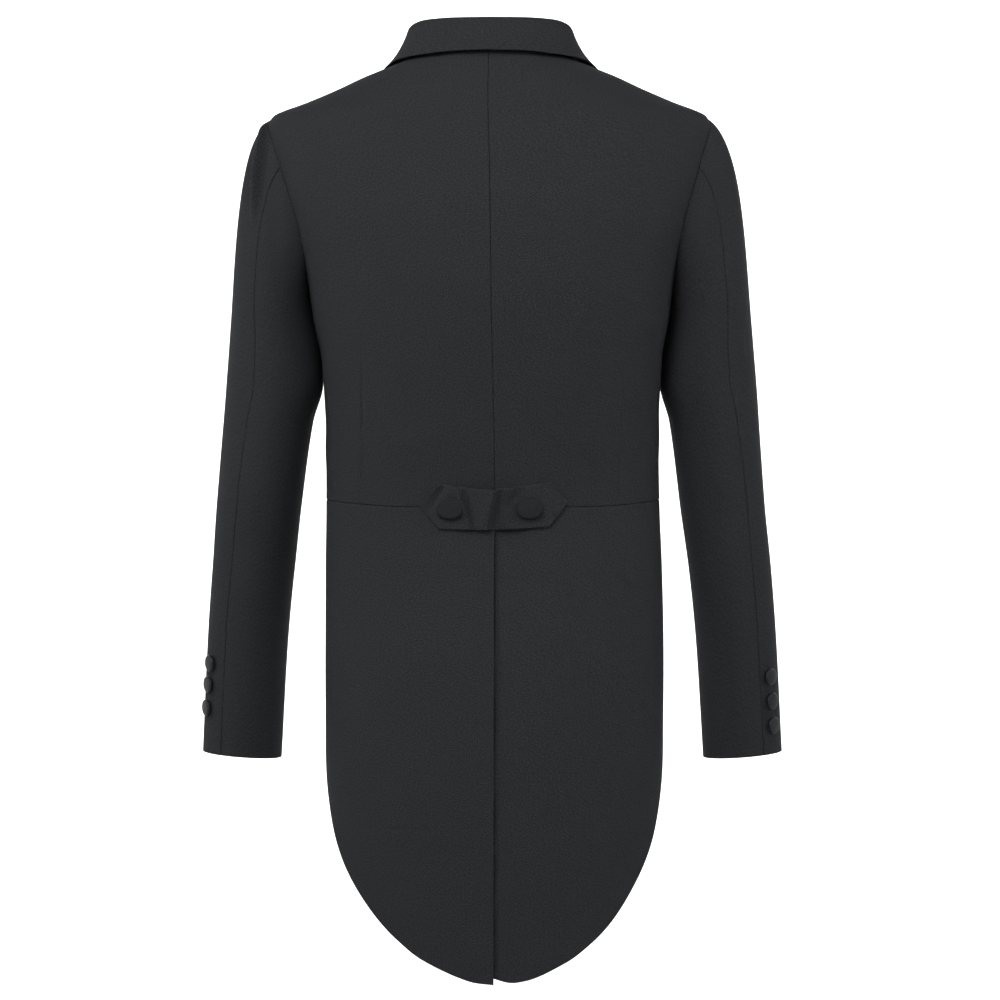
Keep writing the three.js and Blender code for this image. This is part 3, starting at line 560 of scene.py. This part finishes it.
# The right tail goes in by the step where it lies under the left one, as far as VENT_FROM past the vent,
# and eases out over the run after it. Beside the left one's edge it has a narrow hollow.
VENT_STEP = 2.2
VENT_FROM = 10
VENT_RUN = 30
VENT_HOLLOW = 2.6
HOLLOW_X = 0.9
HOLLOW_REACH = 1.2
PLEAT_AT = 0.505
TAIL_FOLDS = {
    "left": [
        ("back", (127, -400), (127.5, -472), -1.7, 1.1, 0),
        ("back", (72, -497), (4, -498), -0.45, 1.6, 0),
        ("back", (116, -750), (4, -748), -0.6, 1.7, 0),
    ],
    "right": [
        ("back", (-125, -400), (-128.5, -502), -1.1, 1.2, 0),
        ("back", (-129, -497), (-145, -516), 1.6, 3.5, 2),
    ],
}


def patch(top, bottom, start, end, u, v):
    """A patch between four edges, each a function from 0 to 1 that gives two coordinates."""
    made = []
    for k in (0, 1):
        ruled = mix(top(u)[k], bottom(u)[k], v) + mix(start(v)[k], end(v)[k], u)
        corners = mix(mix(top(0.0)[k], top(1.0)[k], u), mix(bottom(0.0)[k], bottom(1.0)[k], u), v)
        made.append(ruled - corners)
    return made


def tail(side, vent_x):
    hem = through(TAIL_HEM, "angle", side)

    def start(z):
        return np.degrees(np.arctan2(vent_x, body["back"](z)))

    def top(t):
        angle = mix(start(WAIST_BACK_Z), TAIL_FRONT, t)
        return angle, waist_z(np.maximum(0, angle))

    def bottom(t):
        angle = mix(start(hem(0)), TAIL_CORNER, t)
        return angle, hem(angle)

    def vent(t):
        z = mix(WAIST_BACK_Z, hem(start(hem(0))), t)
        return start(z), z

    def cutaway(t):
        angle = mix(TAIL_FRONT, TAIL_CORNER, np.power(t, 0.9))
        return angle, hem(angle)

    u, v = np.meshgrid(closer_at(PLEAT_AT, 120, 230), close_to_edges(200, 460))
    angle, z = patch(top, bottom, vent, cutaway, u, v)
    points = on_body(angle, z)
    if side == "left":
        return points
    across = points[..., 0]
    inward = (VENT_STEP * (1 - ease((across - VENT_FROM) / VENT_RUN))
              + VENT_HOLLOW * np.exp(-((across - HOLLOW_X) / HOLLOW_REACH) ** 2))
    return points - inward[..., None] * body_normal(angle, z)


for side, vent_x, width, area in (("left", 0, 0.225, 0.093), ("right", -VENT_OVERLAP, 0.265, 0.110)):
    points = as_worn(side_of(tail(side, vent_x), side))
    piece = cloth_piece(f"tail_{side}_cloth", points, ("fold", "fold", "seam", "fold"),
                        BODY_FOLDS + TAIL_FOLDS[side])
    hand_over(piece, "tail_" + side, coat_wool)


# The sleeves: each of a top and an under panel of the wool, joined along the hindarm and forearm seams,
# bent forward as the arm hangs, with a little fullness eased into the head.

# At each height, how far the tube reaches, and how its ring is tipped
SLEEVE = table("z outer inner back front tip_in tip_back", [
    (-250, 261.5, 177.4, 44, -82, 0, 0),
    (-290, 264.8, 170.2, 40, -84, 0.3, 0),
    (-312, 266.6, 169.4, 38, -84, 0.5, 0),
    (-350, 269.5, 179.3, 34, -84, 0.8, 0.2),
    (-430, 276, 190.5, 25, -85, 1.5, 0.4),
    (-560, 287.4, 206, 3, -95, 2.4, 0.5),
    (-689, 295.5, 215.2, -23, -113, 3.3, 0.5),
])
RING_Z = SLEEVE[0]["z"]
CUFF_Z = SLEEVE[-1]["z"]
HINDARM_SEAM = 70
HINDARM_LOW = 62
HINDARM_REACH = 10
FOREARM_SEAM = 240
ELBOW_RUN = 0.45                # the share of the tube over which the seam moves
HEAD_STARTS_UNDER = 1.0
HEAD_ROWS = 84
TUBE_ROWS = 110
PANEL_COLUMNS = 84
SLEEVE_FOLDS = {
    "left": [
        ("back", (225, -48), (235, -156), 9.0, 3.0, 2),
        ("back", (232, -56), (242, -146), -4.5, 3.6, 2),
        ("back", (219, -66), (227, -150), -2.2, 3.6, 2),
        ("back", (214, -110), (206, -230), -1.2, 8, 3),
        ("back", (252, -300), (196, -372), -1.3, 12, 4),
        ("back", (262, -400), (206, -440), 1.0, 13, -4),
        ("back", (214, -420), (262, -520), -1.0, 14, 5),
        ("front", (196, -300), (256, -380), -1.6, 11, -4),
        ("front", (204, -360), (262, -410), 1.5, 9, 3),
        ("front", (206, -420), (266, -455), -1.4, 10, 3),
        ("front", (190, -200), (240, -270), -1.2, 13, 4),
    ],
    "right": [
        ("left", (-50, -226), (40, -226), 1.6, 16, 0),
        ("back", (-212, -115), (-206, -235), -1.3, 9, -3),
        ("back", (-238, -130), (-214, -262), -1.4, 10, -4),
        ("back", (-256, -290), (-200, -350), -1.2, 12, -4),
        ("back", (-206, -380), (-262, -450), 1.1, 13, 4),
        ("back", (-268, -470), (-222, -540), -0.9, 14, 4),
        ("front", (-200, -310), (-254, -370), -1.5, 10, 4),
        ("front", (-206, -372), (-264, -424), 1.4, 10, -3),
        ("front", (-210, -430), (-262, -470), -1.3, 9, -3),
        ("front", (-196, -190), (-236, -280), -1.2, 12, -4),
    ],
}

arm = {c: through(SLEEVE, "z", c) for c in ("outer", "inner", "back", "front", "tip_in", "tip_back")}


def sleeve_ring(around, z):
    around, z = np.broadcast_arrays(around, z)
    sin, cos = np.sin(np.radians(around)), np.cos(np.radians(around))
    return np.stack([
        mix(arm["inner"](z), arm["outer"](z), 0.5 + cos / 2),
        mix(arm["front"](z), arm["back"](z), 0.5 + sin / 2),
        z + arm["tip_in"](z) * cos - arm["tip_back"](z) * sin,
    ], -1)


def sleeve_head(around, t):
    sin, cos = np.sin(np.radians(around)), np.cos(np.radians(around))
    y, z = armhole(around)
    angle = angle_at_depth(y, z)
    leave = np.stack([0.53 + 0.38 * cos, 0.12 * sin, -0.67 + 0.26 * cos], -1)
    leave /= np.linalg.norm(leave, axis=-1, keepdims=True)
    start = on_body(angle, z) - HEAD_STARTS_UNDER * body_normal(angle, z)
    end = sleeve_ring(around, RING_Z)
    arrive = end - sleeve_ring(around, RING_Z + 1)
    span = np.linalg.norm(end - start, axis=-1, keepdims=True)
    t = t[..., None]
    return (start * (1 + 2 * t) * (1 - t) ** 2 + leave * t * (1 - t) ** 2 * span * 0.56
            + end * t ** 2 * (3 - 2 * t) - arrive * t ** 2 * (1 - t) * span)


def on_sleeve(around, along):
    head = sleeve_head(around, np.minimum(along, 1))
    tube = sleeve_ring(around, mix(RING_Z, CUFF_Z, np.maximum(along - 1, 0)))
    return np.where((along <= 1)[..., None], head, tube)


def at_hindarm(around, along):
    """Round the sleeve, with the hindarm seam moving towards its outer edge below the elbow."""
    seam = mix(HINDARM_SEAM, HINDARM_LOW, ease((along - 1) / ELBOW_RUN))
    near, far = HINDARM_SEAM - HINDARM_REACH, HINDARM_SEAM + HINDARM_REACH
    t = (around - near) / HINDARM_REACH
    moved = np.where(t < 1, mix(near, seam, t), mix(seam, far, t - 1))
    return np.where((around > near) & (around < far), moved, around)


def sleeve_panel(start, end):
    down = np.concatenate([steps(HEAD_ROWS)[:-1] ** 1.3, close_to_edges(TUBE_ROWS, 440, 1, 2)[4:]])
    around, along = np.meshgrid(mix(start, end, close_to_edges(PANEL_COLUMNS, 190)), down)
    return on_sleeve(at_hindarm(around, along), along)


for side in ("left", "right"):
    for part, start, end, flat, area in (
            ("top", HINDARM_SEAM, FOREARM_SEAM - 360, (0.215, 0.66), 0.094),
            ("under", FOREARM_SEAM, HINDARM_SEAM, (0.19, 0.61), 0.078)):
        points = as_worn(side_of(sleeve_panel(start, end), side), on_sleeve=True)
        piece = cloth_piece(f"{part}_sleeve_{side}_cloth", points, ("seam", "seam", "seam", "fold"),
                            SLEEVE_FOLDS[side])
        hand_over(piece, f"{part}_sleeve_{side}", coat_wool)


# The collar: a wool stand sewn into the neckline, and the fall turned down over it, in one length round
# the neck to its front ends on the chest. Stations run from the centre back to each front end.

COLLAR = table("x y z angle edge_z lift", [
    (0, 44, 42.5, 0, 9, 6),
    (33, 41.5, 42.5, 38, 8, 5.5),
    (63, 29, 42, 55, 6.5, 4.5),
    (77, 13, 38, 68, 6, 3.6),
    (80.5, -3, 31, 81, 5, 3),
    (81, -17, 22, 92, 2.5, 3),
    (79, -30, 12, 103, -6, 3),
    (75, -41, 1, 110.5, -20, 2.8),
    (71.5, -54, -14, 114.5, -30, 2.8),
    (68.3, -64, -28, 116.4, -38, 2.8),
])
STAND_LAST = 6
CHEST_FIRST = 7.6
LAY = 2.8                       # how far out a second layer of cloth lies
LAPEL = dict(gorge=(67.5, -30), notch=(103, -60), peak=(147, -47), belly=9)
FALL_ABOVE_NOTCH = 36.5
FALL_DIP_AT = 0.7
ROLL_RADIUS = 2.2
ROLL_TURN = 130                 # degrees
FALL_BULGE = 1.4
COLLAR_FOLDS = [
    ("back", (52, 36), (44, 12), -0.5, 7, 1),
    ("back", (-30, 38), (-34, 12), -0.4, 9, -1),
    ("back", (-78, 30), (-70, 10), 0.5, 6, 1),
]

collar = {c: through([dict(row, station=i) for i, row in enumerate(COLLAR)], "station", c)
          for c in COLLAR[0]}
LAST = len(COLLAR) - 1


def roll_line(s):
    roll = np.stack([collar[c](s) for c in ("x", "y", "z")], -1)
    outward = roll * (1, 1, 0)
    return roll, outward / np.linalg.norm(outward, axis=-1, keepdims=True)


def both_sides(points, station):
    points[..., 0] *= np.where(station < 0, -1, 1)
    return points


def collar_stand():
    across, v = np.meshgrid(close_to_edges(90, 270, -STAND_LAST, STAND_LAST), close_to_edges(12, 34))
    s = np.abs(across)
    roll, outward = roll_line(s)
    angle = np.degrees(np.arctan2(roll[..., 0], roll[..., 1]))
    foot = on_body(angle, np.where(angle <= 90, neck_back_z(angle), neck_front_z(angle)))
    roll[..., 2] -= 1.6 + 2 * ease((s - 3) / 2)
    points = mix(foot, roll, (1 - v)[..., None]) - outward * (CLOTH + 0.4)
    return both_sides(points, -across)


def collar_fall():
    rows = np.concatenate([steps(10, 0.25, 2)[:-1], 2 + close_to_edges(22, 46)])
    station, r = np.meshgrid(close_to_edges(180, 420, -LAST, LAST), rows)
    s = np.abs(station)
    roll, outward = roll_line(s)
    edge = on_body(collar["angle"](s), collar["edge_z"](s))
    edge += collar["lift"](s)[..., None] * body_normal(collar["angle"](s), collar["edge_z"](s))
    turn = np.radians(ROLL_TURN * (1 - np.minimum(r, 2) / 2))
    curl = roll + outward * (0.4 + ROLL_RADIUS * np.cos(turn))[..., None]
    curl[..., 2] += 0.4 + ROLL_RADIUS * np.sin(turn)
    down = np.clip(r - 2, 0, 1)
    bulge = np.sin(np.pi * down)
    hanging = mix(curl, edge, down[..., None]) + outward * (FALL_BULGE * bulge)[..., None]
    on_chest = ease((s - STAND_LAST) / (CHEST_FIRST - STAND_LAST))
    past = np.maximum(0, (s - STAND_LAST) / (LAST - STAND_LAST))
    notch_drop = LAPEL["notch"][1] + FALL_ABOVE_NOTCH
    sloped = np.where(down < FALL_DIP_AT, down / FALL_DIP_AT, (1 - down) / (1 - FALL_DIP_AT))
    dip = sloped * notch_drop * past ** 2
    x = mix(roll[..., 0], edge[..., 0], down)
    z = mix(roll[..., 2], edge[..., 2], down) + dip
    turned = np.minimum(1, r / 2)
    angle = angle_across(x, z, "front")
    lift = LAY + 1.2 * bulge + (turned - 1) * 0.5
    lying = on_body(angle, z) + lift[..., None] * body_normal(angle, z)
    lying[..., 0] -= (1 - turned) * 1.2
    return both_sides(mix(hanging, lying, on_chest[..., None]), station)


piece = cloth_piece("collar_stand_cloth", as_worn(collar_stand()), ("none", "none", "none", "seam"))
hand_over(piece, "collar_stand", coat_wool)

points = as_worn(collar_fall()[:, ::-1])
piece = cloth_piece("collar_fall_cloth", points, ("fold", "fold", "none", "fold"), COLLAR_FOLDS)
hand_over(piece, "collar_fall", coat_wool)


# The lapels: wool on the top of each front, turned back along its roll line, with a peak that points at
# the shoulder. The left one runs down to the button, and the right one goes under it.

NOTCH_AT = 0.45                 # the share of the top edge that lies along the collar
LAPEL_BULGE = 1.6
LAPEL_FEET = {
    "left": dict(roll=(-15, -393), edge=(-12, -393)),
    "right": dict(roll=(1.5, -322), edge=(8.5, -352)),
}


def line(a, b, t):
    return mix(a[0], b[0], t), mix(a[1], b[1], t)


def lapel(lap, foot):
    gorge, notch, peak = LAPEL["gorge"], LAPEL["notch"], LAPEL["peak"]

    def top(t):
        first = line(gorge, notch, t / NOTCH_AT)
        second = line(notch, peak, (t - NOTCH_AT) / (1 - NOTCH_AT))
        return [np.where(t < NOTCH_AT, a, b) for a, b in zip(first, second)]

    def bottom(t):
        return line(foot["roll"], foot["edge"], t)

    def roll(t):
        z = mix(gorge[1], foot["roll"][1], t)
        return roll_x(z) + 0.5, z

    def outer(t):
        x, z = line(peak, foot["edge"], t)
        return x + LAPEL["belly"] * np.sin(np.pi * t), z

    u, v = np.meshgrid(close_to_edges(36, 80), close_to_edges(110, 350))
    x, z = patch(top, bottom, roll, outer, u, v)
    bulge = LAPEL_BULGE * np.sin(np.pi * np.minimum(1, u * 1.2)) * (1 - v)
    angle = angle_across(x, z, "front")
    lift = LAY + bulge + lap * lap_out(x)
    return (on_body(angle, z) + lift[..., None] * body_normal(angle, z))[:, ::-1]


for side, lap, flat, area in (("left", 1, (0.085, 0.37), 0.0178), ("right", -1, (0.08, 0.33), 0.0172)):
    points = as_worn(side_of(lapel(lap, LAPEL_FEET[side]), side))
    piece = cloth_piece(f"lapel_{side}_cloth", points, ("fold",) * 4)
    hand_over(piece, "lapel_" + side, coat_wool)


# The half belt: a double strip of the same wool with pointed ends, buttoned over the back of the waist.
# It is a little too long for its buttons, so the slack between them stands up in slanting puckers.

TAB = dict(middle_x=1.2, mid_z=-434.5, half_length=71.8, pointed=18, half_width=22.7, sag=7, tilt=-0.02)
TAB_LIFT = LAY + 0.5
TAB_THICK = 2.6
TAB_SLACK = 4.2                 # how far its slack middle stands out
TAB_LEAN = 3.8                  # and how much further out its top, and less its bottom
SLACK_X = 5
SLACK_REACH = 28
FOOT_SAGS_LESS = 0.62
TAB_PUCKERS = [
    ("back", (0, -406), (13, -472), 3.6, 8.0, 0),
    ("back", (-5, -406), (9, -474), 4.2, 3.2, 0),
    ("back", (-13, -406), (0, -470), -4.4, 5.0, 1),
    ("back", (19, -402), (24, -474), 1.2, 7, 0),
    ("back", (34, -404), (15, -470), -3.8, 2.8, -2),
    ("back", (39, -406), (25, -448), 3.4, 3.4, 0),
    ("back", (42, -410), (63, -442), -3.2, 4.5, 1),
    ("back", (-37, -408), (-11, -442), -3.4, 5.5, -2),
    ("back", (-8, -452), (-36, -464), 1.2, 4, 0),
    ("back", (67, -424), (71, -442), 1.2, 3, 0),
]


def tab_height(x, z):
    slack = np.exp(-(((x - SLACK_X) / SLACK_REACH) ** 4))
    return slack * (TAB_SLACK + TAB_LEAN * (z - TAB["mid_z"]) / TAB["half_width"])


def back_tab():
    u, v = np.meshgrid(close_to_edges(150, 142), close_to_edges(44, 46))
    along = mix(-1, 1, u)
    x = TAB["middle_x"] + TAB["half_length"] * along
    taper = np.clip((1 - np.abs(along)) * TAB["half_length"] / TAB["pointed"], 0, 1)
    half = mix(0.8, TAB["half_width"], taper)
    sag = TAB["sag"] * (1 - along ** 2) ** 2 * (1 - FOOT_SAGS_LESS * v) * taper
    z = TAB["mid_z"] + TAB["tilt"] * x + half * (1 - 2 * v) - sag
    angle = angle_across(x, z, "back")
    return on_body(angle, z) + (TAB_LIFT + tab_height(x, z))[..., None] * body_normal(angle, z)


piece = cloth_piece("back_tab_cloth", as_worn(back_tab()), ("pressed",) * 4, TAB_PUCKERS, TAB_THICK)
hand_over(piece, "back_tab", coat_wool)


# The buttons: shells covered in cloth, domed inside a low rim. Those of the half belt are wide ovals in
# the coat's wool, those of the sleeves round, in satin, and the one in front closes the coat.

BUTTON_PROFILE = [              # across as a share of its half width, and out as a share of its height
    (0, 0.04), (0.42, 0.04), (0.42, 0.22), (0.86, 0.24), (0.96, 0.3), (1, 0.42), (1, 0.55),
    (0.985, 0.66), (0.955, 0.76), (0.91, 0.84), (0.85, 0.885), (0.76, 0.915), (0.6, 0.945),
    (0.4, 0.975), (0.2, 0.995), (0, 1),
]
BUTTON_SIDES = 64
SAME_POINT = 1e-5               # metres


def profile_curve(tree, along, column):
    """One column of the button's profile, read along it from its back to the middle of its top."""
    made = node(tree, "ShaderNodeFloatCurve", [("Value", along, "Value")])
    points = made.mapping.curves[0].points
    last = len(BUTTON_PROFILE) - 1
    for k, row in enumerate(BUTTON_PROFILE):
        point = points[0] if k == 0 else points[-1] if k == last else points.new(k / last, row[column])
        point.location = k / last, row[column]
        point.handle_type = "VECTOR"
    made.mapping.update()
    return made


def button_tree():
    """A sheet of squares turned about the button's middle, closed where its ends and its middle meet."""
    tree = bpy.data.node_groups.new("covered_button", "GeometryNodeTree")
    for label, kind in (("Half Width", "Float"), ("Half Height", "Float"), ("Thickness", "Float"),
                        ("Sides", "Int"), ("Cloth", "Material")):
        tree.interface.new_socket(label, in_out="INPUT", socket_type="NodeSocket" + kind)
    tree.interface.new_socket("Button", in_out="OUTPUT", socket_type="NodeSocketGeometry")
    sizes = node(tree, "NodeGroupInput")
    round_count = node(tree, "ShaderNodeMath", [(0, sizes, "Sides")], operation="ADD")
    round_count.inputs[1].default_value = 1
    sheet = node(tree, "GeometryNodeMeshGrid", [("Vertices X", round_count, "Value")],
                 **{"Size X": 1.0, "Size Y": 1.0, "Vertices Y": len(BUTTON_PROFILE)})
    place = node(tree, "GeometryNodeInputPosition")
    split = node(tree, "ShaderNodeSeparateXYZ", [("Vector", place, "Position")])
    turn = node(tree, "ShaderNodeMath", [(0, split, "X")], operation="MULTIPLY")
    turn.inputs[1].default_value = 2 * math.pi
    along = node(tree, "ShaderNodeMath", [(0, split, "Y")], operation="ADD")
    along.inputs[1].default_value = 0.5
    reach, out = profile_curve(tree, along, 0), profile_curve(tree, along, 1)
    spread = []
    for operation, size in (("COSINE", "Half Width"), ("SINE", "Half Height")):
        round_turn = node(tree, "ShaderNodeMath", [(0, turn, "Value")], operation=operation)
        share = node(tree, "ShaderNodeMath", [(0, round_turn, "Value"), (1, reach, "Value")],
                     operation="MULTIPLY")
        spread.append(node(tree, "ShaderNodeMath", [(0, share, "Value"), (1, sizes, size)],
                           operation="MULTIPLY"))
    height = node(tree, "ShaderNodeMath", [(0, out, "Value"), (1, sizes, "Thickness")],
                  operation="MULTIPLY")
    put = node(tree, "ShaderNodeCombineXYZ",
               [("X", spread[0], "Value"), ("Y", spread[1], "Value"), ("Z", height, "Value")])
    turned = node(tree, "GeometryNodeSetPosition",
                  [("Geometry", sheet, "Mesh"), ("Position", put, "Vector")])
    closed = node(tree, "GeometryNodeMergeByDistance", [("Geometry", turned, "Geometry")],
                  Distance=SAME_POINT)
    smooth = node(tree, "GeometryNodeSetShadeSmooth", [("Geometry", closed, "Geometry")])
    real = node(tree, "GeometryNodeRealizeInstances", [("Geometry", smooth, "Geometry")])
    covered = node(tree, "GeometryNodeSetMaterial",
                   [("Geometry", real, "Geometry"), ("Material", sizes, "Cloth")])
    node(tree, "NodeGroupOutput", [("Button", covered, "Geometry")])
    return tree


covered_button_tree = button_tree()


def covered_button(name, seat, outward, up, sizes, material):
    """seat is in millimetres, where the back of the button lies; outward and up say how it is turned."""
    blank = bpy.data.objects.new(name, bpy.data.meshes.new(name + "_blank"))
    bpy.context.collection.objects.link(blank)
    modifier = blank.modifiers.new("covered_button", "NODES")
    modifier.node_group = covered_button_tree
    half_width, half_height, thickness = (size / 1000 for size in sizes)
    values = {"Half Width": half_width, "Half Height": half_height, "Thickness": thickness,
              "Sides": BUTTON_SIDES, "Cloth": material}
    for socket in covered_button_tree.interface.items_tree:
        if socket.in_out == "INPUT":
            modifier[socket.identifier] = values[socket.name]
    bpy.context.view_layer.update()
    seen = blank.evaluated_get(bpy.context.evaluated_depsgraph_get())
    mesh = bpy.data.meshes.new_from_object(seen)
    blank.modifiers.remove(modifier)
    across = np.cross(up, outward)
    axes = np.stack([across, up, outward], 1)
    mesh.transform(Matrix([[*row, middle] for row, middle in zip(axes, seat / 1000)] + [[0, 0, 0, 1]]))
    blank.data = mesh
    return blank


def seated(angle, z, lift, on):
    """A point of the body or the sleeve, lifted off it, with its outward direction."""
    if on == "body":
        point, outward = on_body(angle, z), body_normal(angle, z)
    else:
        along = 1 + (z - RING_Z) / (CUFF_Z - RING_Z)
        points = on_sleeve(np.array([[angle - 0.1, angle + 0.1, angle, angle]]),
                           np.array([[along, along, along - 1e-3, along + 1e-3]]))[0]
        point = points[:2].mean(0)
        outward = np.cross(points[0] - points[1], points[3] - points[2])
    outward = outward / np.linalg.norm(outward)
    return point + lift * outward, outward


TAB_BUTTON = (13.4, 9.9, 6.2)   # half width, half height, thickness
CUFF_BUTTON = (8.5, 8.5, 5)
FRONT_BUTTON = (10, 10, 6)
FRONT_BUTTON_Z = BUTTON_Z - 12
CLOTH_LIFT = 0.1
TAB_BUTTON_LIFT = TAB_LIFT + 0.2
TAB_BUTTONS = {"left": (44, -439), "right": (-32.8, -439)}      # across, and up
CUFF_BUTTONS = {                # round the sleeve, and up
    "left_upper": (36, -596), "left_middle": (34, -618), "left_lower": (32, -642),
    "right_upper": (46, -609), "right_middle": (45, -634), "right_lower": (44, -659),
}


# Button coverings: the coat's wool drawn tight over the shell, which flattens its nap and leaves it matt
# and even, and silk satin, whose long floats give a soft sheen. The fleck is drawn as coarse as the coat's.

BUTTON_WOOL = "#262729"
BUTTON_SATIN = "#1e1f22"


def button_cloth(name, colour, roughness, gloss):
    material, tree, shader = new_material(name)
    place = node(tree, "ShaderNodeTexCoord")
    fleck = node(tree, "ShaderNodeTexNoise", [("Vector", place, "Object")], Scale=1 / FLECK, Detail=2.0)
    ramp = node(tree, "ShaderNodeMapRange", [("Value", fleck, "Fac")],
                **{"From Min": 0.35, "From Max": 0.65, "To Min": 0.82, "To Max": 1.18})
    shade = node(tree, "ShaderNodeVectorMath", [("Scale", ramp, "Result")], operation="SCALE")
    shade.inputs[0].default_value = linear(colour)[:3]
    tree.links.new(shade.outputs["Vector"], shader.inputs["Base Color"])
    bump = node(tree, "ShaderNodeBump", [("Height", fleck, "Fac")], Strength=0.25, Distance=0.0003)
    tree.links.new(bump.outputs["Normal"], shader.inputs["Normal"])
    shader.inputs["Roughness"].default_value = roughness
    shader.inputs["Specular IOR Level"].default_value = gloss
    return material


button_wool = button_cloth("button_wool", BUTTON_WOOL, 0.85, 0.15)
button_satin = button_cloth("button_satin", BUTTON_SATIN, 0.42, 0.3)
UP = np.array([0.0, 0.0, 1.0])


def add_button(node_name, seat, outward, sizes, material, slot):
    up = UP - outward * (outward @ UP)
    up = up / np.linalg.norm(up)
    button = covered_button(node_name + "_shell", seat, outward, up, sizes, material)
    hand_over(button, node_name, material)


def worn_seat(seat, outward, on_sleeve=False):
    """Moves a button with the coat as it hangs."""
    ends = as_worn(np.array([seat, seat + outward]), on_sleeve)
    turned = ends[1] - ends[0]
    return ends[0], turned / np.linalg.norm(turned)


for side, (x, z) in TAB_BUTTONS.items():
    lift = TAB_BUTTON_LIFT + float(tab_height(x, z))
    seat, outward = seated(float(angle_across(x, z, "back")), z, lift, "body")
    add_button("tab_button_" + side, *worn_seat(seat, outward), TAB_BUTTON, button_wool,
               "tab_button_cloth")

for name, (angle, z) in CUFF_BUTTONS.items():
    seat, outward = seated(angle, z, CLOTH_LIFT, "sleeve")
    if name.startswith("right"):
        seat, outward = seat * (-1, 1, 1), outward * (-1, 1, 1)
    add_button("cuff_button_" + name, *worn_seat(seat, outward, True), CUFF_BUTTON, button_satin,
               "sleeve_button_cloth")

seat, _ = seated(float(angle_across(0, FRONT_BUTTON_Z, "front")), FRONT_BUTTON_Z,
                 LAP_STEP + CLOTH_LIFT, "body")
add_button("front_button", *worn_seat(seat, np.array([0.0, -1.0, 0.0])), FRONT_BUTTON, button_wool,
           "tab_button_cloth")


# The studio: a pale floor that curves up into a backdrop, broad soft lights, and a long lens square on the
# back of the coat. Its sizes are in metres.

CAMERA_X = -0.008
CAMERA_AWAY = 3.2
CAMERA_Z = -0.43
FRAME_WIDTH = 1.0
SENSOR = 36                     # millimetres

camera = bpy.data.objects.new("camera", bpy.data.cameras.new("camera"))
bpy.context.collection.objects.link(camera)
camera.data.sensor_width = SENSOR
camera.data.lens = SENSOR * CAMERA_AWAY / FRAME_WIDTH
camera.data.clip_end = 50
camera.location = (CAMERA_X, CAMERA_AWAY, CAMERA_Z)
camera.rotation_euler = (math.radians(90), 0, math.radians(180))
bpy.context.scene.camera = camera

FLOOR_Z = -1.25
FLOOR_RADIUS = 4.6
CURVE = 1.2
WALL_TOP = 3.6


def studio_floor():
    """A round floor that curves up into a wall all round, so that it is behind the coat from every side."""
    profile = [(0.0, FLOOR_Z), (FLOOR_RADIUS, FLOOR_Z)]
    profile += [(FLOOR_RADIUS + CURVE * math.sin(a), FLOOR_Z + CURVE * (1 - math.cos(a)))
                for a in np.radians(np.arange(10, 91, 10))]
    profile.append((FLOOR_RADIUS + CURVE, WALL_TOP))
    around = np.radians(np.arange(0, 360, 5))
    vertices = [(0, 0, FLOOR_Z)]
    vertices += [(r * math.cos(a), r * math.sin(a), z) for r, z in profile[1:] for a in around]
    count = len(around)
    faces = [(0, 1 + i, 1 + (i + 1) % count) for i in range(count)]
    for k in range(len(profile) - 2):
        low, high = 1 + k * count, 1 + (k + 1) * count
        faces += [(low + i, high + i, high + (i + 1) % count, low + (i + 1) % count)
                  for i in range(count)]
    mesh = bpy.data.meshes.new("studio_floor")
    mesh.from_pydata(vertices, [], faces)
    mesh.shade_smooth()
    floor = bpy.data.objects.new("studio_floor", mesh)
    bpy.context.collection.objects.link(floor)
    return floor


# Seamless studio paper: uncoated, so it is matt and even.
floor = studio_floor()
paper, _, paper_shader = new_material("white_paper")
paper_shader.inputs["Base Color"].default_value = linear("#cccccc")
paper_shader.inputs["Roughness"].default_value = 0.9
floor.data.materials.append(paper)


def soft_light(name, place, aim, size, power, spread=180):
    light = bpy.data.lights.new(name, "AREA")
    light.spread = math.radians(spread)
    light.shape = "RECTANGLE"
    light.size, light.size_y = size
    light.energy = power
    lamp = bpy.data.objects.new(name, light)
    bpy.context.collection.objects.link(lamp)
    lamp.location = place
    lamp.rotation_euler = (Vector(aim) - Vector(place)).to_track_quat("-Z", "Y").to_euler()


soft_light("key", (0.8, 1.9, 1.1), (0, 0, -0.15), (1.1, 1.1), 5.5, spread=75)
soft_light("top", (0.2, 2.2, 2.0), (0, 0, -0.1), (1.6, 1.0), 8)
soft_light("camera_fill", (0, 2.6, 0.3), (0, 0, -0.25), (1.4, 1.0), 7.5)
soft_light("left_side", (2.0, 0.6, 0.4), (0.2, 0, -0.3), (0.8, 1.4), 13.5)
soft_light("right_side", (-2.0, 0.6, 0.4), (-0.2, 0, -0.3), (0.8, 1.4), 16)
soft_light("backdrop_light", (0, -3.2, 2.6), (0, -5.8, 0.0), (5.0, 1.0), 560)
world = bpy.data.worlds.new("studio")
world.use_nodes = True
world.node_tree.nodes["Background"].inputs["Color"].default_value = (1, 1, 1, 1)
world.node_tree.nodes["Background"].inputs["Strength"].default_value = 0.1
bpy.context.scene.world = world
bpy.context.scene.view_settings.view_transform = "Standard"
